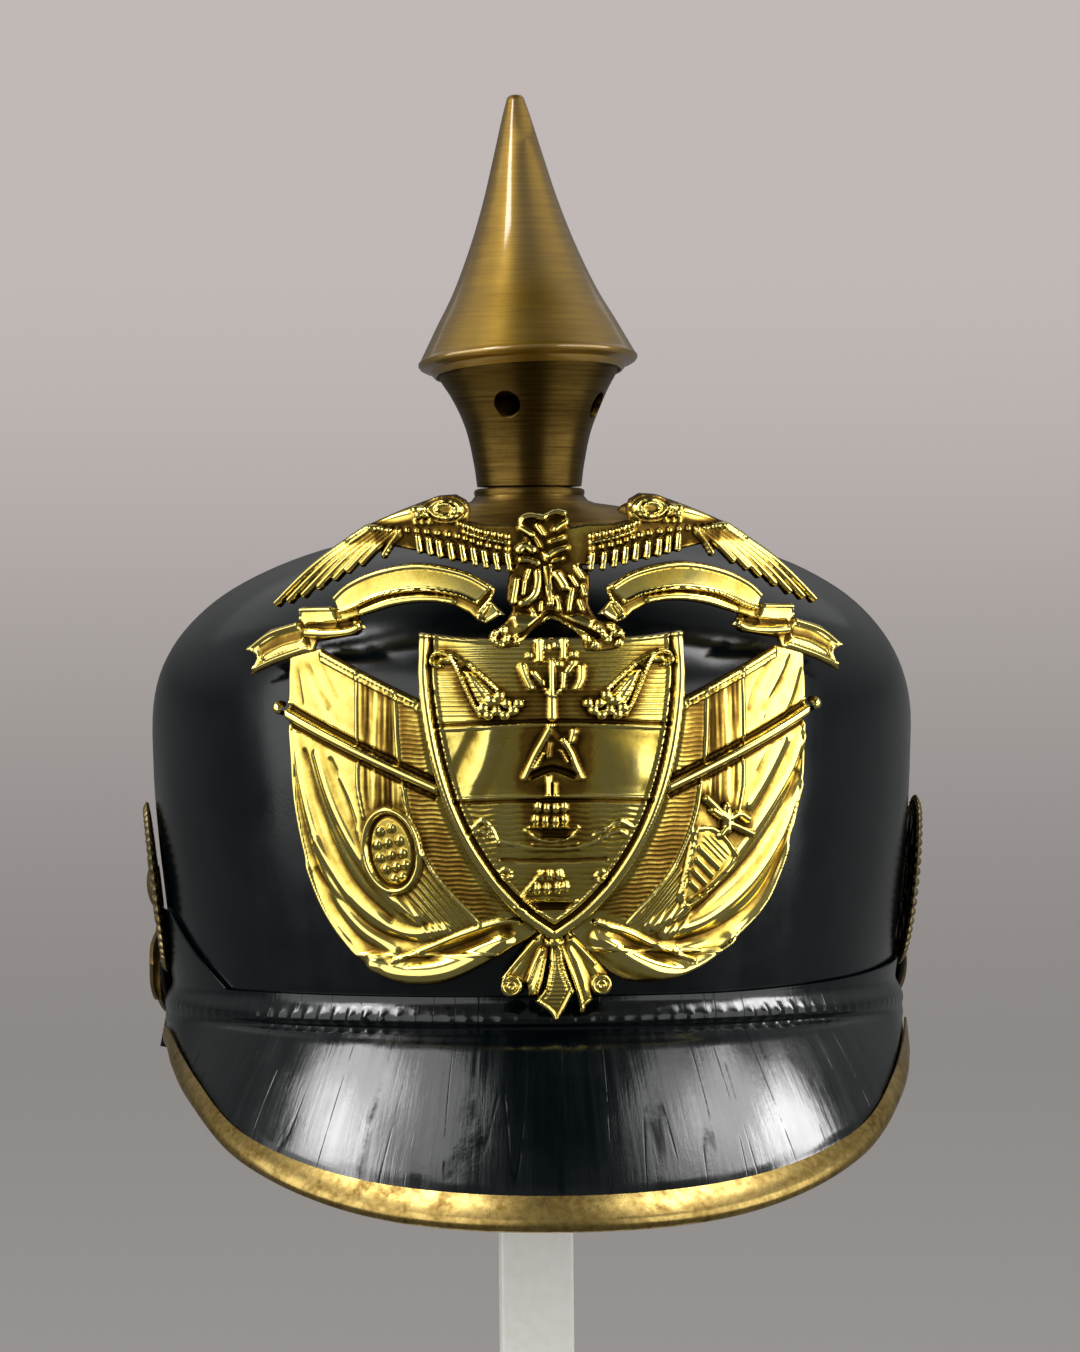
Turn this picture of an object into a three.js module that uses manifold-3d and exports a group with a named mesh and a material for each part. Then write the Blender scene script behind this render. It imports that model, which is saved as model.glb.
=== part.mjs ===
// A spiked leather helmet on a plain stand: leather skull and peaks, brass spike, relief front
// plate, rosettes and scaled chin strap. Millimetres, +Z up, and the front faces -Y.
import * as THREE from 'three';
import { mergeVertices } from 'three/addons/utils/BufferGeometryUtils.js';
import Module from 'manifold-3d';

const wasm = await Module();
wasm.setup();

// Driving dimensions. Heights of the helmet are measured from the seam where the peaks are sewn on.
const gap = 0.3;
const seamHeight = 160;
const skull = {
  halfWidth: 92.5, lengthRatio: 1.19, widestHeight: 60, crownHeight: 110, crownPower: 2.35,
  seamTuck: 5.6, tuckPower: 1.6, rimDrop: 9, wall: 2.6, ventRadius: 10, sides: 40,
};
const peak = { flangeHeight: 6, bendDrop: 2.5, leather: 2.3, crown: 1.2, steps: 28 };
const trim = { width: 9.4, sideWidth: 6.6, metal: 0.7 };
const spike = {
  neckSides: 20, ventHoles: 4, ventRadius: 3, ventHeight: 138.6, ventTurn: -17, neckWall: 1.2,
  coneSeat: 146.5, plugRadius: 17.5, plugDrop: 4, lean: 2,
};
const plate = { sheet: 1, clearance: 1, flangeClearance: 3.4, leanFrom: 55, leanRadius: 120, span: 19 };
const rosette = {
  radius: 20.6, height: 22.4, standOff: 1.3, metal: 0.9, beads: 18, beadDepth: 0.6, petals: 6,
  bossRadius: 6, bossRise: 1.5, stemRadius: 4,
};
const strap = {
  leather: 1.2, scaleMetal: 1, scaleRise: 0.8, scalePitch: 14, scaleOverlap: 1.35, firstScale: 1.5,
};
const clasp = { length: 15, wall: 1, height: 17 };
const spine = { halfWidth: 5, edgeRise: 0.7, ridgeRise: 1.5 };
const stand = {
  baseSide: 150, baseHeight: 10, corner: 12, bevel: 1.5, post: 17.5, padRadius: 34, padDrop: 9,
};

const leather = new THREE.MeshStandardMaterial({ color: 0x14161a, roughness: 0.32, metalness: 0 });
const strapLeather = new THREE.MeshStandardMaterial({ color: 0x1d1916, roughness: 0.6, metalness: 0 });
const agedBrass = new THREE.MeshStandardMaterial({ color: 0x8a7233, roughness: 0.38, metalness: 1 });
const trimBrass = new THREE.MeshStandardMaterial({ color: 0xa5843e, roughness: 0.42, metalness: 1 });
const gilt = new THREE.MeshStandardMaterial({ color: 0xd2b750, roughness: 0.25, metalness: 1 });
const acrylic = new THREE.MeshStandardMaterial({ color: 0xd3dad2, roughness: 0.3, metalness: 0 });

const radians = THREE.MathUtils.degToRad;
const lerp = THREE.MathUtils.lerp;
const smooth = THREE.MathUtils.smoothstep;

// Closed meshes: vertices are merged, collapsed triangles dropped and the faces turned outwards.
function closed(geometry) {
  geometry.deleteAttribute('normal');
  geometry.deleteAttribute('uv');
  const merged = mergeVertices(geometry, 1e-4);
  const corner = (i) => new THREE.Vector3().fromBufferAttribute(merged.attributes.position, i);
  const kept = [];
  let volume = 0;
  for (let i = 0; i < merged.index.count; i += 3) {
    const [a, b, c] = [0, 1, 2].map((k) => merged.index.getX(i + k));
    if (a === b || b === c || c === a) continue;
    kept.push(a, b, c);
    volume += corner(a).dot(corner(b).cross(corner(c)));
  }
  merged.setIndex(volume < 0 ? kept.reverse() : kept);
  return merged;
}

function toSolid(geometry) {
  const made = closed(geometry);
  const vertProperties = new Float32Array(made.attributes.position.array);
  const triVerts = new Uint32Array(made.index.array);
  return new wasm.Manifold(new wasm.Mesh({ numProp: 3, vertProperties, triVerts }));
}

function toGeometry(solid) {
  const { vertProperties, triVerts } = solid.getMesh();
  const geometry = new THREE.BufferGeometry();
  geometry.setAttribute('position', new THREE.BufferAttribute(new Float32Array(vertProperties), 3));
  geometry.setIndex([...triVerts]);
  return geometry;
}

function union(geometries) {
  return geometries.map(toSolid).reduce((whole, piece) => whole.add(piece));
}

// A solid through closed sections with equal corner counts. The end caps follow the first outline.
function loft(sections, outline) {
  const count = outline.length;
  const corners = sections.flat();
  const index = [];
  for (let s = 0; s + 1 < sections.length; s += 1) {
    for (let c = 0; c < count; c += 1) {
      const [a, b] = [s * count + c, s * count + (c + 1) % count];
      index.push(a, b, b + count, a, b + count, a + count);
    }
  }
  const last = (sections.length - 1) * count;
  const turnsLeft = THREE.ShapeUtils.area(outline) > 0;
  for (const [a, b, c] of THREE.ShapeUtils.triangulateShape(outline, [])) {
    const [second, third] = turnsLeft ? [c, b] : [b, c];
    index.push(a, second, third, last + a, last + third, last + second);
  }
  const geometry = new THREE.BufferGeometry().setFromPoints(corners);
  geometry.setIndex(index);
  return closed(geometry);
}

function lathe(rows, sides) {
  const points = rows.map(([radius, height]) => new THREE.Vector2(radius, height));
  return new THREE.LatheGeometry(points, sides).rotateX(Math.PI / 2);
}

function piece(name, geometry, material) {
  const mesh = new THREE.Mesh(closed(geometry), material);
  mesh.name = name;
  return mesh;
}

// Skull form: half-width at a height, and the height of the crown over a point of the plan.
function skullHalfWidth(height) {
  if (height < skull.widestHeight) {
    const below = (skull.widestHeight - height) / skull.widestHeight;
    return skull.halfWidth - skull.seamTuck * below ** skull.tuckPower;
  }
  const rise = (height - skull.widestHeight) / (skull.crownHeight - skull.widestHeight);
  return skull.halfWidth * (1 - rise ** skull.crownPower) ** (1 / skull.crownPower);
}

function crownHeightAt(radius, inset = 0) {
  const share = Math.min(1, radius / (skull.halfWidth - inset));
  const rise = skull.crownHeight - inset - skull.widestHeight;
  return skull.widestHeight + rise * (1 - share ** skull.crownPower) ** (1 / skull.crownPower);
}

// A point beside the skull: turn is measured from the front, in degrees, towards +X.
function beside(turn, height, offset) {
  const a = skullHalfWidth(height);
  const b = a * skull.lengthRatio;
  const [s, c] = [Math.sin(radians(turn)), Math.cos(radians(turn))];
  const outward = new THREE.Vector3(s / a, -c / b, 0).normalize();
  return { point: new THREE.Vector3(a * s, -b * c, height).addScaledVector(outward, offset), outward };
}

function makeSkull() {
  const lowHeights = [-skull.rimDrop, 10, 33, skull.widestHeight];
  const crownRadii = [0.975, 0.9, 0.77, 0.58, 0.36];
  const wallAt = (inset) => [
    ...lowHeights.map((height) => [skullHalfWidth(height) - inset, height]),
    ...crownRadii.map((share) => share * (skull.halfWidth - inset)).map((r) => [r, crownHeightAt(r, inset)]),
    [skull.ventRadius, crownHeightAt(skull.ventRadius, inset)],
  ];
  const outer = wallAt(0);
  const rows = [...outer, ...wallAt(skull.wall).reverse(), outer[0]];
  return piece('skull', lathe(rows, skull.sides).scale(1, skull.lengthRatio, 1), leather);
}

// Peaks: how far each drops below its bend and reaches outwards, by turn from its own middle.
const frontReach = [
  { turn: 0, drop: 40.5, reach: 34 }, { turn: 20, drop: 38.5, reach: 30 },
  { turn: 40, drop: 30, reach: 18.5 }, { turn: 55, drop: 18, reach: 10.5 },
  { turn: 68, drop: 11.4, reach: 5 }, { turn: 80, drop: 9.5, reach: 1.8 }, { turn: 88, drop: 9.2, reach: 1 },
];
const rearReach = [
  { turn: 0, drop: 33, reach: 33 }, { turn: 20, drop: 31.5, reach: 30 }, { turn: 40, drop: 25, reach: 19 },
  { turn: 55, drop: 16, reach: 10 }, { turn: 70, drop: 10.5, reach: 4.5 },
  { turn: 87, drop: 8.5, reach: 1.6 },
];

function smoothTable(table, key, column, at) {
  const next = Math.max(1, table.findIndex((row) => row[key] >= at));
  const slope = (i) => {
    const [low, high] = [table[Math.max(0, i - 1)], table[Math.min(table.length - 1, i + 1)]];
    return i === 0 ? 0 : (high[column] - low[column]) / (high[key] - low[key]);
  };
  const [low, high] = [table[next - 1], table[next]];
  const width = high[key] - low[key];
  const t = (at - low[key]) / width;
  return low[column] * (1 + 2 * t) * (1 - t) ** 2 + slope(next - 1) * width * t * (1 - t) ** 2
    + high[column] * t ** 2 * (3 - 2 * t) + slope(next) * width * t ** 2 * (t - 1);
}

// Section of a peak in its own plane: x is outwards from the skull at the seam, y is up.
function peakSection(table, turnFromMiddle) {
  const turn = Math.abs(turnFromMiddle);
  const drop = smoothTable(table, 'turn', 'drop', turn);
  const reach = smoothTable(table, 'turn', 'reach', turn);
  const bend = new THREE.Vector2(gap, -peak.flangeHeight - peak.bendDrop);
  const along = new THREE.Vector2(reach, -drop);
  const face = new THREE.Vector2(drop, reach).normalize();
  const slope = (share, lift) => bend.clone().addScaledVector(along, share).addScaledVector(face, lift);
  const outer = gap + peak.leather;
  const arch = (share) => peak.crown * smooth(drop, 12, 38) * 4 * share * (1 - share);
  const outline = [
    new THREE.Vector2(gap, 0), new THREE.Vector2(outer, 0), new THREE.Vector2(outer, -peak.flangeHeight),
    ...[0.14, 0.5, 1].map((share) => slope(share, peak.leather + arch(share))),
    ...[1, 0.5, 0.1].map((share) => slope(share, arch(share))),
    new THREE.Vector2(gap, -peak.flangeHeight),
  ];
  const end = slope(1, peak.leather / 2);
  const ahead = end.clone().sub(slope(0.5, peak.leather / 2 + arch(0.5)));
  const bound = lerp(trim.width, trim.sideWidth, smooth(turn, 10, 50));
  return { outline, edge: { end, width: Math.min(bound, 1.45 * ahead.length()), ahead: ahead.normalize() } };
}

function standOnSeam(middleTurn, turn, corner) {
  const { point, outward } = beside(middleTurn + turn, 0, 0);
  return point.addScaledVector(outward, corner.x).setZ(corner.y);
}

function peakTurns(table, steps) {
  const farTurn = table.at(-1).turn;
  return Array.from({ length: steps + 1 }, (_, i) => lerp(-farTurn, farTurn, i / steps));
}

function makePeak(name, table, middleTurn) {
  const turns = peakTurns(table, peak.steps);
  const sections = turns.map((turn) => {
    const { outline } = peakSection(table, turn);
    return outline.map((corner) => standOnSeam(middleTurn, turn, corner));
  });
  return piece(name, loft(sections, peakSection(table, turns[0]).outline), leather);
}

// Folded brass binding round the edge of the front peak.
function makeTrim() {
  const inside = peak.leather / 2 + gap + 0.1;
  const outside = inside + trim.metal;
  const profile = (width) => [
    [-width, outside], [-0.6, outside], [gap + trim.metal, outside * 0.55],
    [gap + trim.metal, -outside * 0.55], [-0.6, -outside], [-width, -outside],
    [-width, -inside], [gap, -inside], [gap, inside], [-width, inside],
  ];
  const outline = profile(trim.width).map(([back, up]) => new THREE.Vector2(back, up));
  const sections = peakTurns(frontReach, peak.steps).slice(1, -1).map((turn) => {
    const { end, width, ahead } = peakSection(frontReach, turn).edge;
    const face = new THREE.Vector2(-ahead.y, ahead.x);
    return profile(width).map(([back, up]) => {
      const corner = end.clone().addScaledVector(ahead, back).addScaledVector(face, up);
      return standOnSeam(0, turn, corner);
    });
  });
  return piece('front_peak_trim', loft(sections, outline), trimBrass);
}

// Spike: a flared cone on a vented neck, screwed to a domed base with four fixing studs.
function makeCone() {
  const cone = [
    { radius: 26.6, height: 149.6 }, { radius: 25.3, height: 152 }, { radius: 22, height: 157.6 },
    { radius: 17.4, height: 166 }, { radius: 12.9, height: 176.8 }, { radius: 9.2, height: 187.7 },
    { radius: 6.2, height: 198.5 }, { radius: 3.5, height: 208.6 }, { radius: 2.2, height: 213 },
    { radius: 1.2, height: 214 }, { radius: 0, height: 214.2 },
  ];
  const underside = [
    [0, spike.coneSeat - spike.plugDrop], [spike.plugRadius, spike.coneSeat - spike.plugDrop],
    [spike.plugRadius, spike.coneSeat], [22.4, spike.coneSeat], [25.8, spike.coneSeat + 1.3],
  ];
  const rows = [...underside, ...cone.map(({ radius, height }) => [radius, height])];
  const settled = rows.map(([radius, height]) => [radius, height - spike.coneSeat]);
  const mesh = piece('spike', lathe(settled, spike.neckSides), agedBrass);
  mesh.position.z = spike.coneSeat;
  mesh.rotation.y = -radians(spike.lean);
  return mesh;
}

const neckRows = [
  { radius: 12.7, height: 118.9 }, { radius: 13.5, height: 124.7 }, { radius: 15.3, height: 132.8 },
  { radius: 18.7, height: 140.8 }, { radius: 21.2, height: 145.2 },
];

function makeNeck() {
  const outer = neckRows.map(({ radius, height }) => [radius, height]);
  const inner = [outer.at(-1), outer[2], outer[0]]
    .map(([radius, height]) => [radius - spike.neckWall, height]);
  let neck = toSolid(lathe([...outer, ...inner, outer[0]], spike.neckSides));
  for (let i = 0; i < spike.ventHoles; i += 1) {
    const turn = radians(spike.ventTurn + i * 360 / spike.ventHoles);
    const drill = new THREE.CylinderGeometry(spike.ventRadius, spike.ventRadius, 30, 8).translate(0, -18, 0);
    neck = neck.subtract(toSolid(drill.rotateZ(turn).translate(0, 0, spike.ventHeight)));
  }
  return piece('spike_neck', toGeometry(neck), agedBrass);
}

// Section of the base, with heights above the crown, and the studs that fix it.
const baseRows = [
  { radius: 11.4, rise: gap }, { radius: 25, rise: gap }, { radius: 42, rise: gap },
  { radius: 42, rise: 1.5 }, { radius: 33, rise: 3.4 }, { radius: 15.5, rise: 5.1 },
  { radius: 13.3, rise: 6.6 }, { radius: 13.3, rise: 8.5 }, { radius: 11.4, rise: 8.5 },
  { radius: 11.4, rise: gap },
];
const stud = { radius: 3.4, flatness: 0.8, circle: 33, rise: 3.2 };

function makeSpikeBase() {
  const studs = [45, 135, 225, 315].map((turn) => {
    const [x, y] = [stud.circle * Math.sin(radians(turn)), -stud.circle * Math.cos(radians(turn))];
    const head = new THREE.SphereGeometry(stud.radius, 8, 4).rotateX(Math.PI / 2);
    return head.scale(1, 1, stud.flatness).translate(x, y, stud.rise);
  });
  const dome = lathe(baseRows.map(({ radius, rise }) => [radius, rise]), 22);
  const geometry = toGeometry(union([dome, ...studs]));
  drape(geometry);
  return piece('spike_base', geometry, agedBrass);
}

// Lifts a piece made flat by the height of the crown under each of its points.
function drape(geometry) {
  const place = geometry.attributes.position;
  for (let i = 0; i < place.count; i += 1) {
    const radius = Math.hypot(place.getX(i), place.getY(i) / skull.lengthRatio);
    place.setZ(i, place.getZ(i) + crownHeightAt(radius));
  }
}

// Front plate. It is made flat, with x along the skull, y up and z outwards, and is then bent on.
// A rib is a rounded bar along a route of [x, y] points: half is its half-width at each point.
// A sharp one has a plain ridge instead of a round back.
// The side is -1 for a rib that is mirrored.
function rib({ route, half, rise, base = 0.4, steps = 4, sharp = false }, side = 1) {
  const points = route.map(([x, y]) => new THREE.Vector3(side * x, y, base));
  const curve = new THREE.CatmullRomCurve3(points);
  const across = sharp ? [[-1, 0], [0, 1], [1, 0]] : [[-1, 0], [-0.62, 0.78], [0.62, 0.78], [1, 0]];
  const outline = across.map(([x, y]) => new THREE.Vector2(x, y));
  const sections = Array.from({ length: steps + 1 }, (_, i) => {
    const at = i / steps;
    const ahead = curve.getTangent(at);
    const side = new THREE.Vector3(ahead.y, -ahead.x, 0).normalize();
    const spot = at * (half.length - 1);
    const low = Math.min(Math.floor(spot), half.length - 2);
    const width = lerp(half[low], half[low + 1], spot - low);
    const tall = rise * Math.min(1, 0.45 + 0.55 * width / Math.max(...half));
    return across.map(([x, y]) => curve.getPoint(at).addScaledVector(side, x * width).setZ(base + y * tall));
  });
  return loft(sections, outline);
}

function slab(points, rise, base = 0) {
  const shape = new THREE.Shape(points.map(([x, y]) => new THREE.Vector2(x, y)));
  const options = { depth: rise - base, bevelEnabled: false, curveSegments: 6 };
  return new THREE.ExtrudeGeometry(shape, options).translate(0, 0, base);
}

function bead(x, y, radius, rise, base = 0.6) {
  const ball = new THREE.SphereGeometry(1, 6, 3).rotateX(Math.PI / 2);
  return ball.scale(radius, radius, rise).translate(x, y, base);
}

function ring({ x, y, halfX, halfY, wall, rise, base }) {
  const shape = new THREE.Shape().absellipse(x, y, halfX, halfY, 0, Math.PI * 2);
  shape.holes.push(new THREE.Path().absellipse(x, y, halfX - wall, halfY - wall, 0, Math.PI * 2));
  const options = { depth: rise - base, bevelEnabled: false, curveSegments: 6 };
  return new THREE.ExtrudeGeometry(shape, options).translate(0, 0, base);
}

const shieldOutline = [
  [29.8, 82.8], [29.9, 68.5], [27, 48.2], [20, 33.2], [9.6, 20.5], [0, 12.6],
];
const shield = { rim: 4, field: 2.9, charges: 2.7, rimShareX: 0.1, rimShareY: 3 / 35, middle: 50 };

// What the shield's three fields bear: lines between them, ships, a cap, a plant and two horns.
const fieldLines = [{ height: 62, reach: 26 }, { height: 44.5, reach: 24 }, { height: 31.3, reach: 15 }];
const ships = [{ height: 37, reach: 5.4 }, { height: 21.4, reach: 5 }];
const cap = {
  route: [[-5.8, 49.5], [-3.4, 55.5], [0, 59.2], [3.4, 55.5], [5.8, 49.5]],
  half: [0.8, 1.9, 2.3, 1.9, 0.8], rise: 2, steps: 4,
};
const horn = {
  route: [[25.5, 75.6], [24.6, 78.2], [21, 77.4], [17.5, 72], [14.5, 66.8], [9.6, 65.6]],
  half: [0.5, 0.8, 1.3, 2.4, 3, 2.4], rise: 2.4, steps: 5,
};

function across(points, side) {
  return points.map(([x, y]) => [side * x, y]);
}

function mirrored(half) {
  return [...half, ...across(half.slice(0, -1), -1).reverse()];
}

function makeShield() {
  const whole = mirrored(shieldOutline);
  const shrink = ([x, y]) => [
    x * (1 - shield.rimShareX), shield.middle + (y - shield.middle) * (1 - shield.rimShareY),
  ];
  const pocket = toSolid(slab(whole.map(shrink), shield.rim + 1, shield.field));
  const body = toSolid(slab(whole, shield.rim)).subtract(pocket);
  const charge = (row, side = 1) => rib({ base: shield.charges, sharp: true, ...row }, side);
  const line = ({ height, reach }) => charge({
    route: [[-reach, height], [0, height + 0.4], [reach, height]], half: [0.5, 0.5], rise: 0.9, steps: 1,
  });
  const hull = ({ height, reach }) => charge({
    route: [[-reach, height], [0, height - 1.2], [reach, height]], half: [0.4, 1.5, 0.4], rise: 1.8, steps: 2,
  });
  const sails = ({ height }) => charge({
    route: [[0, height + 1.2], [0, height + 7]], half: [3.4, 1.2], rise: 1.5, steps: 1,
  });
  const plant = [bead(0, 71, 3.4, 3.4, shield.charges), bead(0, 66, 1.4, 2, shield.charges)];
  const horns = [1, -1].flatMap((side) => [
    charge(horn, side), bead(side * 8.4, 67, 2.2, 2.4, shield.charges),
  ]);
  const fleet = ships.flatMap((ship) => [hull(ship), sails(ship)]);
  return body.add(union([...fieldLines.map(line), ...fleet, charge(cap), ...plant, ...horns]));
}

// One flag and its pole. Folds run from the pole to the rolled hem: route, half-widths and rise.
const flagOutline = [
  [29, 69], [54, 79.6], [63, 78.4], [66.4, 66], [66.4, 53.5], [64.3, 38.5], [59, 22.5], [49.3, 11.3],
  [39.2, 4.6], [29.5, 2.8], [17, 5.2], [4, 13.8],
];
const flagFolds = [
  { route: [[60, 76], [55.5, 67], [52, 58]], half: [1, 3, 1.2], rise: 1.9 },
  { route: [[64.5, 61], [62, 40], [53, 20], [38, 9]], half: [0.8, 2.2, 2.4, 1], rise: 2.4 },
  { route: [[62, 61], [57.5, 42], [48, 22], [36, 12.5]], half: [0.8, 2, 2.2, 0.8], rise: 2.2 },
  { route: [[58.5, 59.5], [53, 44], [46.5, 29]], half: [0.7, 1.8, 0.8], rise: 2 },
  { route: [[43, 9.4], [32, 7], [20, 9.6], [9, 15.5]], half: [1.2, 3.2, 3.2, 1], rise: 3.4 },
];

const flagPole = { route: [[69, 66.2], [48, 57.3], [27, 48.2]], half: [1, 1, 1], rise: 2.8, steps: 2 };
const oval = { x: -38.6, y: 33.8, halfX: 6.9, halfY: 9.6, wall: 1.1, rise: 2.8, base: 0.5 };
const smallShield = [[47, 34], [32.5, 34.6], [30.8, 20.6], [44.5, 27.4]];
const smallBird = { route: [[39.5, 36], [43.5, 40], [48, 43]], half: [1, 1.8, 0.6], rise: 2.2 };

function makeFlag(side) {
  const sheet = slab(across(flagOutline, side), plate.sheet + 0.4);
  const folds = flagFolds.map((row) => rib({ ...row, steps: 3 }, side));
  const leftDevice = () => [
    ring(oval), bead(oval.x, oval.y + 3.8, 1.8, 1.6, 1.2), bead(oval.x, oval.y - 3.8, 1.8, 1.6, 1.2),
  ];
  const rightDevice = () => [slab(smallShield, 2.3), rib(smallBird)];
  return union([sheet, ...folds, rib(flagPole, side), ...(side < 0 ? leftDevice() : rightDevice())]);
}

// One scroll with its bare banner, fold and swallow-tail end.
const banner = { x: 32.4, y: 63.2, radius: 31.3, half: 3.1, halfTurn: radians(39), border: 0.8 };
const bannerEnds = [
  { rise: 2.5, points: [[49, 85], [51.5, 90.6], [62, 88.8], [61.4, 81.2], [51, 82]] },
  {
    rise: 1.8,
    points: [
      [60.5, 86.2], [70, 84.2], [79.4, 79.6], [74, 77.6], [77.8, 73.4], [68, 76.2], [56, 78.6], [56, 83],
    ],
  },
  { rise: 2.2, points: [[14.6, 91.4], [15.6, 84.4], [10.2, 80], [8, 87]] },
];
const bannerRoll = { route: [[50, 83.4], [55, 81.4], [61, 82.6]], half: [0.9, 1.3, 0.9], rise: 3 };

function makeScroll(side) {
  const steps = 5;
  const arc = (border, halfTurn, rise, base) => {
    const edge = (radius, from, to) => Array.from({ length: steps + 1 }, (_, i) => {
      const turn = lerp(from, to, i / steps);
      return [banner.x + radius * Math.sin(turn), banner.y + radius * Math.cos(turn)];
    });
    const [inner, outer] = [banner.radius - banner.half + border, banner.radius + banner.half - border];
    const points = [...edge(outer, -halfTurn, halfTurn), ...edge(inner, halfTurn, -halfTurn)];
    return toSolid(slab(across(points, side), rise, base));
  };
  const band = arc(0, banner.halfTurn, 3.4, 0).subtract(arc(banner.border, banner.halfTurn * 0.96, 5, 2.8));
  const ends = bannerEnds.map(({ rise, points }) => slab(across(points, side), rise));
  return band.add(union([...ends, rib(bannerRoll, side)]));
}

// One spread wing: arm, covert mass, long primaries and short secondaries over a thin web.
const wingWeb = [
  [3, 96], [8, 97.4], [19.4, 100.6], [29.6, 103], [36, 100.6], [43.7, 99], [52, 95.8], [64, 90],
  [57.2, 96.8], [46.5, 104.4], [31.6, 111], [23.1, 113], [16.2, 110.6], [9, 105], [3, 103],
];
const wingArm = {
  route: [[7, 101], [13, 107.4], [20, 111.6], [28, 111], [37, 107.6], [47, 103]],
  half: [1.6, 2.4, 2.8, 2.2, 1.6, 0.9], rise: 4, steps: 4,
};
const wingCoverts = {
  route: [[9, 101.4], [18, 105.4], [28, 106.4], [38, 104]], half: [1.6, 2.6, 2.6, 1.4], rise: 3, steps: 3,
};
const wingFeathers = [
  {
    count: 4, half: 1.8, rise: 2.6, lastRise: 2.2,
    firstRoot: [47.5, 102.6], lastRoot: [37, 105], firstTip: [66.6, 88.6], lastTip: [43.5, 97.4],
  },
  {
    count: 6, half: 1.6, rise: 2.4, lastRise: 2.4,
    firstRoot: [31, 106], lastRoot: [9, 101], firstTip: [29.5, 101.4], lastTip: [8.6, 95],
  },
];

function makeWing(side) {
  const between = (from, to, share) => [lerp(from[0], to[0], share), lerp(from[1], to[1], share)];
  const feathers = wingFeathers.flatMap((row) => Array.from({ length: row.count }, (_, i) => {
    const share = i / (row.count - 1);
    const root = between(row.firstRoot, row.lastRoot, share);
    const tip = between(row.firstTip, row.lastTip, share);
    const rise = lerp(row.rise, row.lastRise, share);
    return rib({ route: [root, tip], half: [row.half, row.half * 0.6], rise, steps: 1, sharp: true }, side);
  }));
  const web = slab(across(wingWeb, side), plate.sheet);
  return union([web, rib(wingArm, side), rib(wingCoverts, side), ...feathers]);
}

const birdBody = { route: [[0, 105], [0, 98], [0, 92]], half: [4, 5.4, 3.4], rise: 5, steps: 3 };
const birdHead = {
  route: [[1.4, 101], [1.6, 106.5], [-0.6, 110], [-5.4, 108.4]],
  half: [3.6, 3, 2.5, 0.6], rise: 5.4, steps: 4,
};
const birdThigh = { route: [[2, 98], [7.4, 92], [11.6, 84]], half: [3, 4.2, 2.2], rise: 4.6, steps: 3 };
const birdClaw = { route: [[11, 85], [13.6, 80.6], [10, 78]], half: [2, 2.6, 1.6], rise: 5, steps: 3 };
const birdBacking = [[-6, 103], [-10, 90], [-11, 80], [11, 80], [10, 90], [6, 103]];

function makeBird() {
  const legs = [1, -1].flatMap((side) => [rib(birdThigh, side), rib(birdClaw, side)]);
  return union([slab(birdBacking, 2.4), rib(birdBody), rib(birdHead), ...legs]);
}

// Knot of ribbon ends under the shield: each strip runs from the tip of the shield to its own end.
function makeKnot() {
  const strips = [
    { end: [-10.6, 3.4], half: 2.6 }, { end: [-5.6, 0.4], half: 2 }, { end: [-0.6, -4.6], half: 3 },
    { end: [5, -2.4], half: 2.2 }, { end: [10.8, 3], half: 2.6 },
  ];
  const bars = strips.map(({ end, half }) => rib({
    route: [[end[0] * 0.12, 15], end], half: [1, half], rise: 2.6, steps: 1,
  }));
  const scrolls = [-11.6, 11.6].map((x) => bead(x, 2.8, 2.9, 3, 0.8));
  return union([...bars, ...scrolls]);
}

// Splits every edge longer than the span, so that a flat piece can bend smoothly. Its height counts
// for less, because the skull is straighter upwards than it is around.
function splitLongEdges(geometry, span) {
  const place = [...geometry.attributes.position.array];
  let index = [...geometry.index.array];
  const length = (a, b) => {
    const [wide, tall] = [0, 1].map((k) => place[3 * a + k] - place[3 * b + k]);
    return Math.hypot(wide, 0.6 * tall);
  };
  for (let split = true; split;) {
    split = false;
    const middles = new Map();
    const middle = (a, b) => {
      if (length(a, b) <= span) return null;
      const key = a < b ? `${a} ${b}` : `${b} ${a}`;
      if (!middles.has(key)) {
        middles.set(key, place.length / 3);
        for (let k = 0; k < 3; k += 1) place.push((place[3 * a + k] + place[3 * b + k]) / 2);
      }
      return middles.get(key);
    };
    const next = [];
    for (let i = 0; i < index.length; i += 3) {
      let [a, b, c] = index.slice(i, i + 3);
      const longest = Math.max(length(a, b), length(b, c), length(c, a));
      while (length(a, b) < longest) [a, b, c] = [b, c, a];
      const [ab, bc, ca] = [middle(a, b), middle(b, c), middle(c, a)];
      split ||= ab !== null;
      if (ab === null) next.push(a, b, c);
      else if (bc === null && ca === null) next.push(a, ab, c, ab, b, c);
      else if (ca === null) next.push(ab, b, bc, a, ab, bc, a, bc, c);
      else if (bc === null) next.push(a, ab, ca, ab, b, ca, b, c, ca);
      else next.push(a, ab, ca, ab, b, bc, ca, bc, c, ab, bc, ca);
    }
    index = next;
  }
  const made = new THREE.BufferGeometry();
  made.setAttribute('position', new THREE.BufferAttribute(new Float32Array(place), 3));
  made.setIndex(index);
  return made;
}

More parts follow.
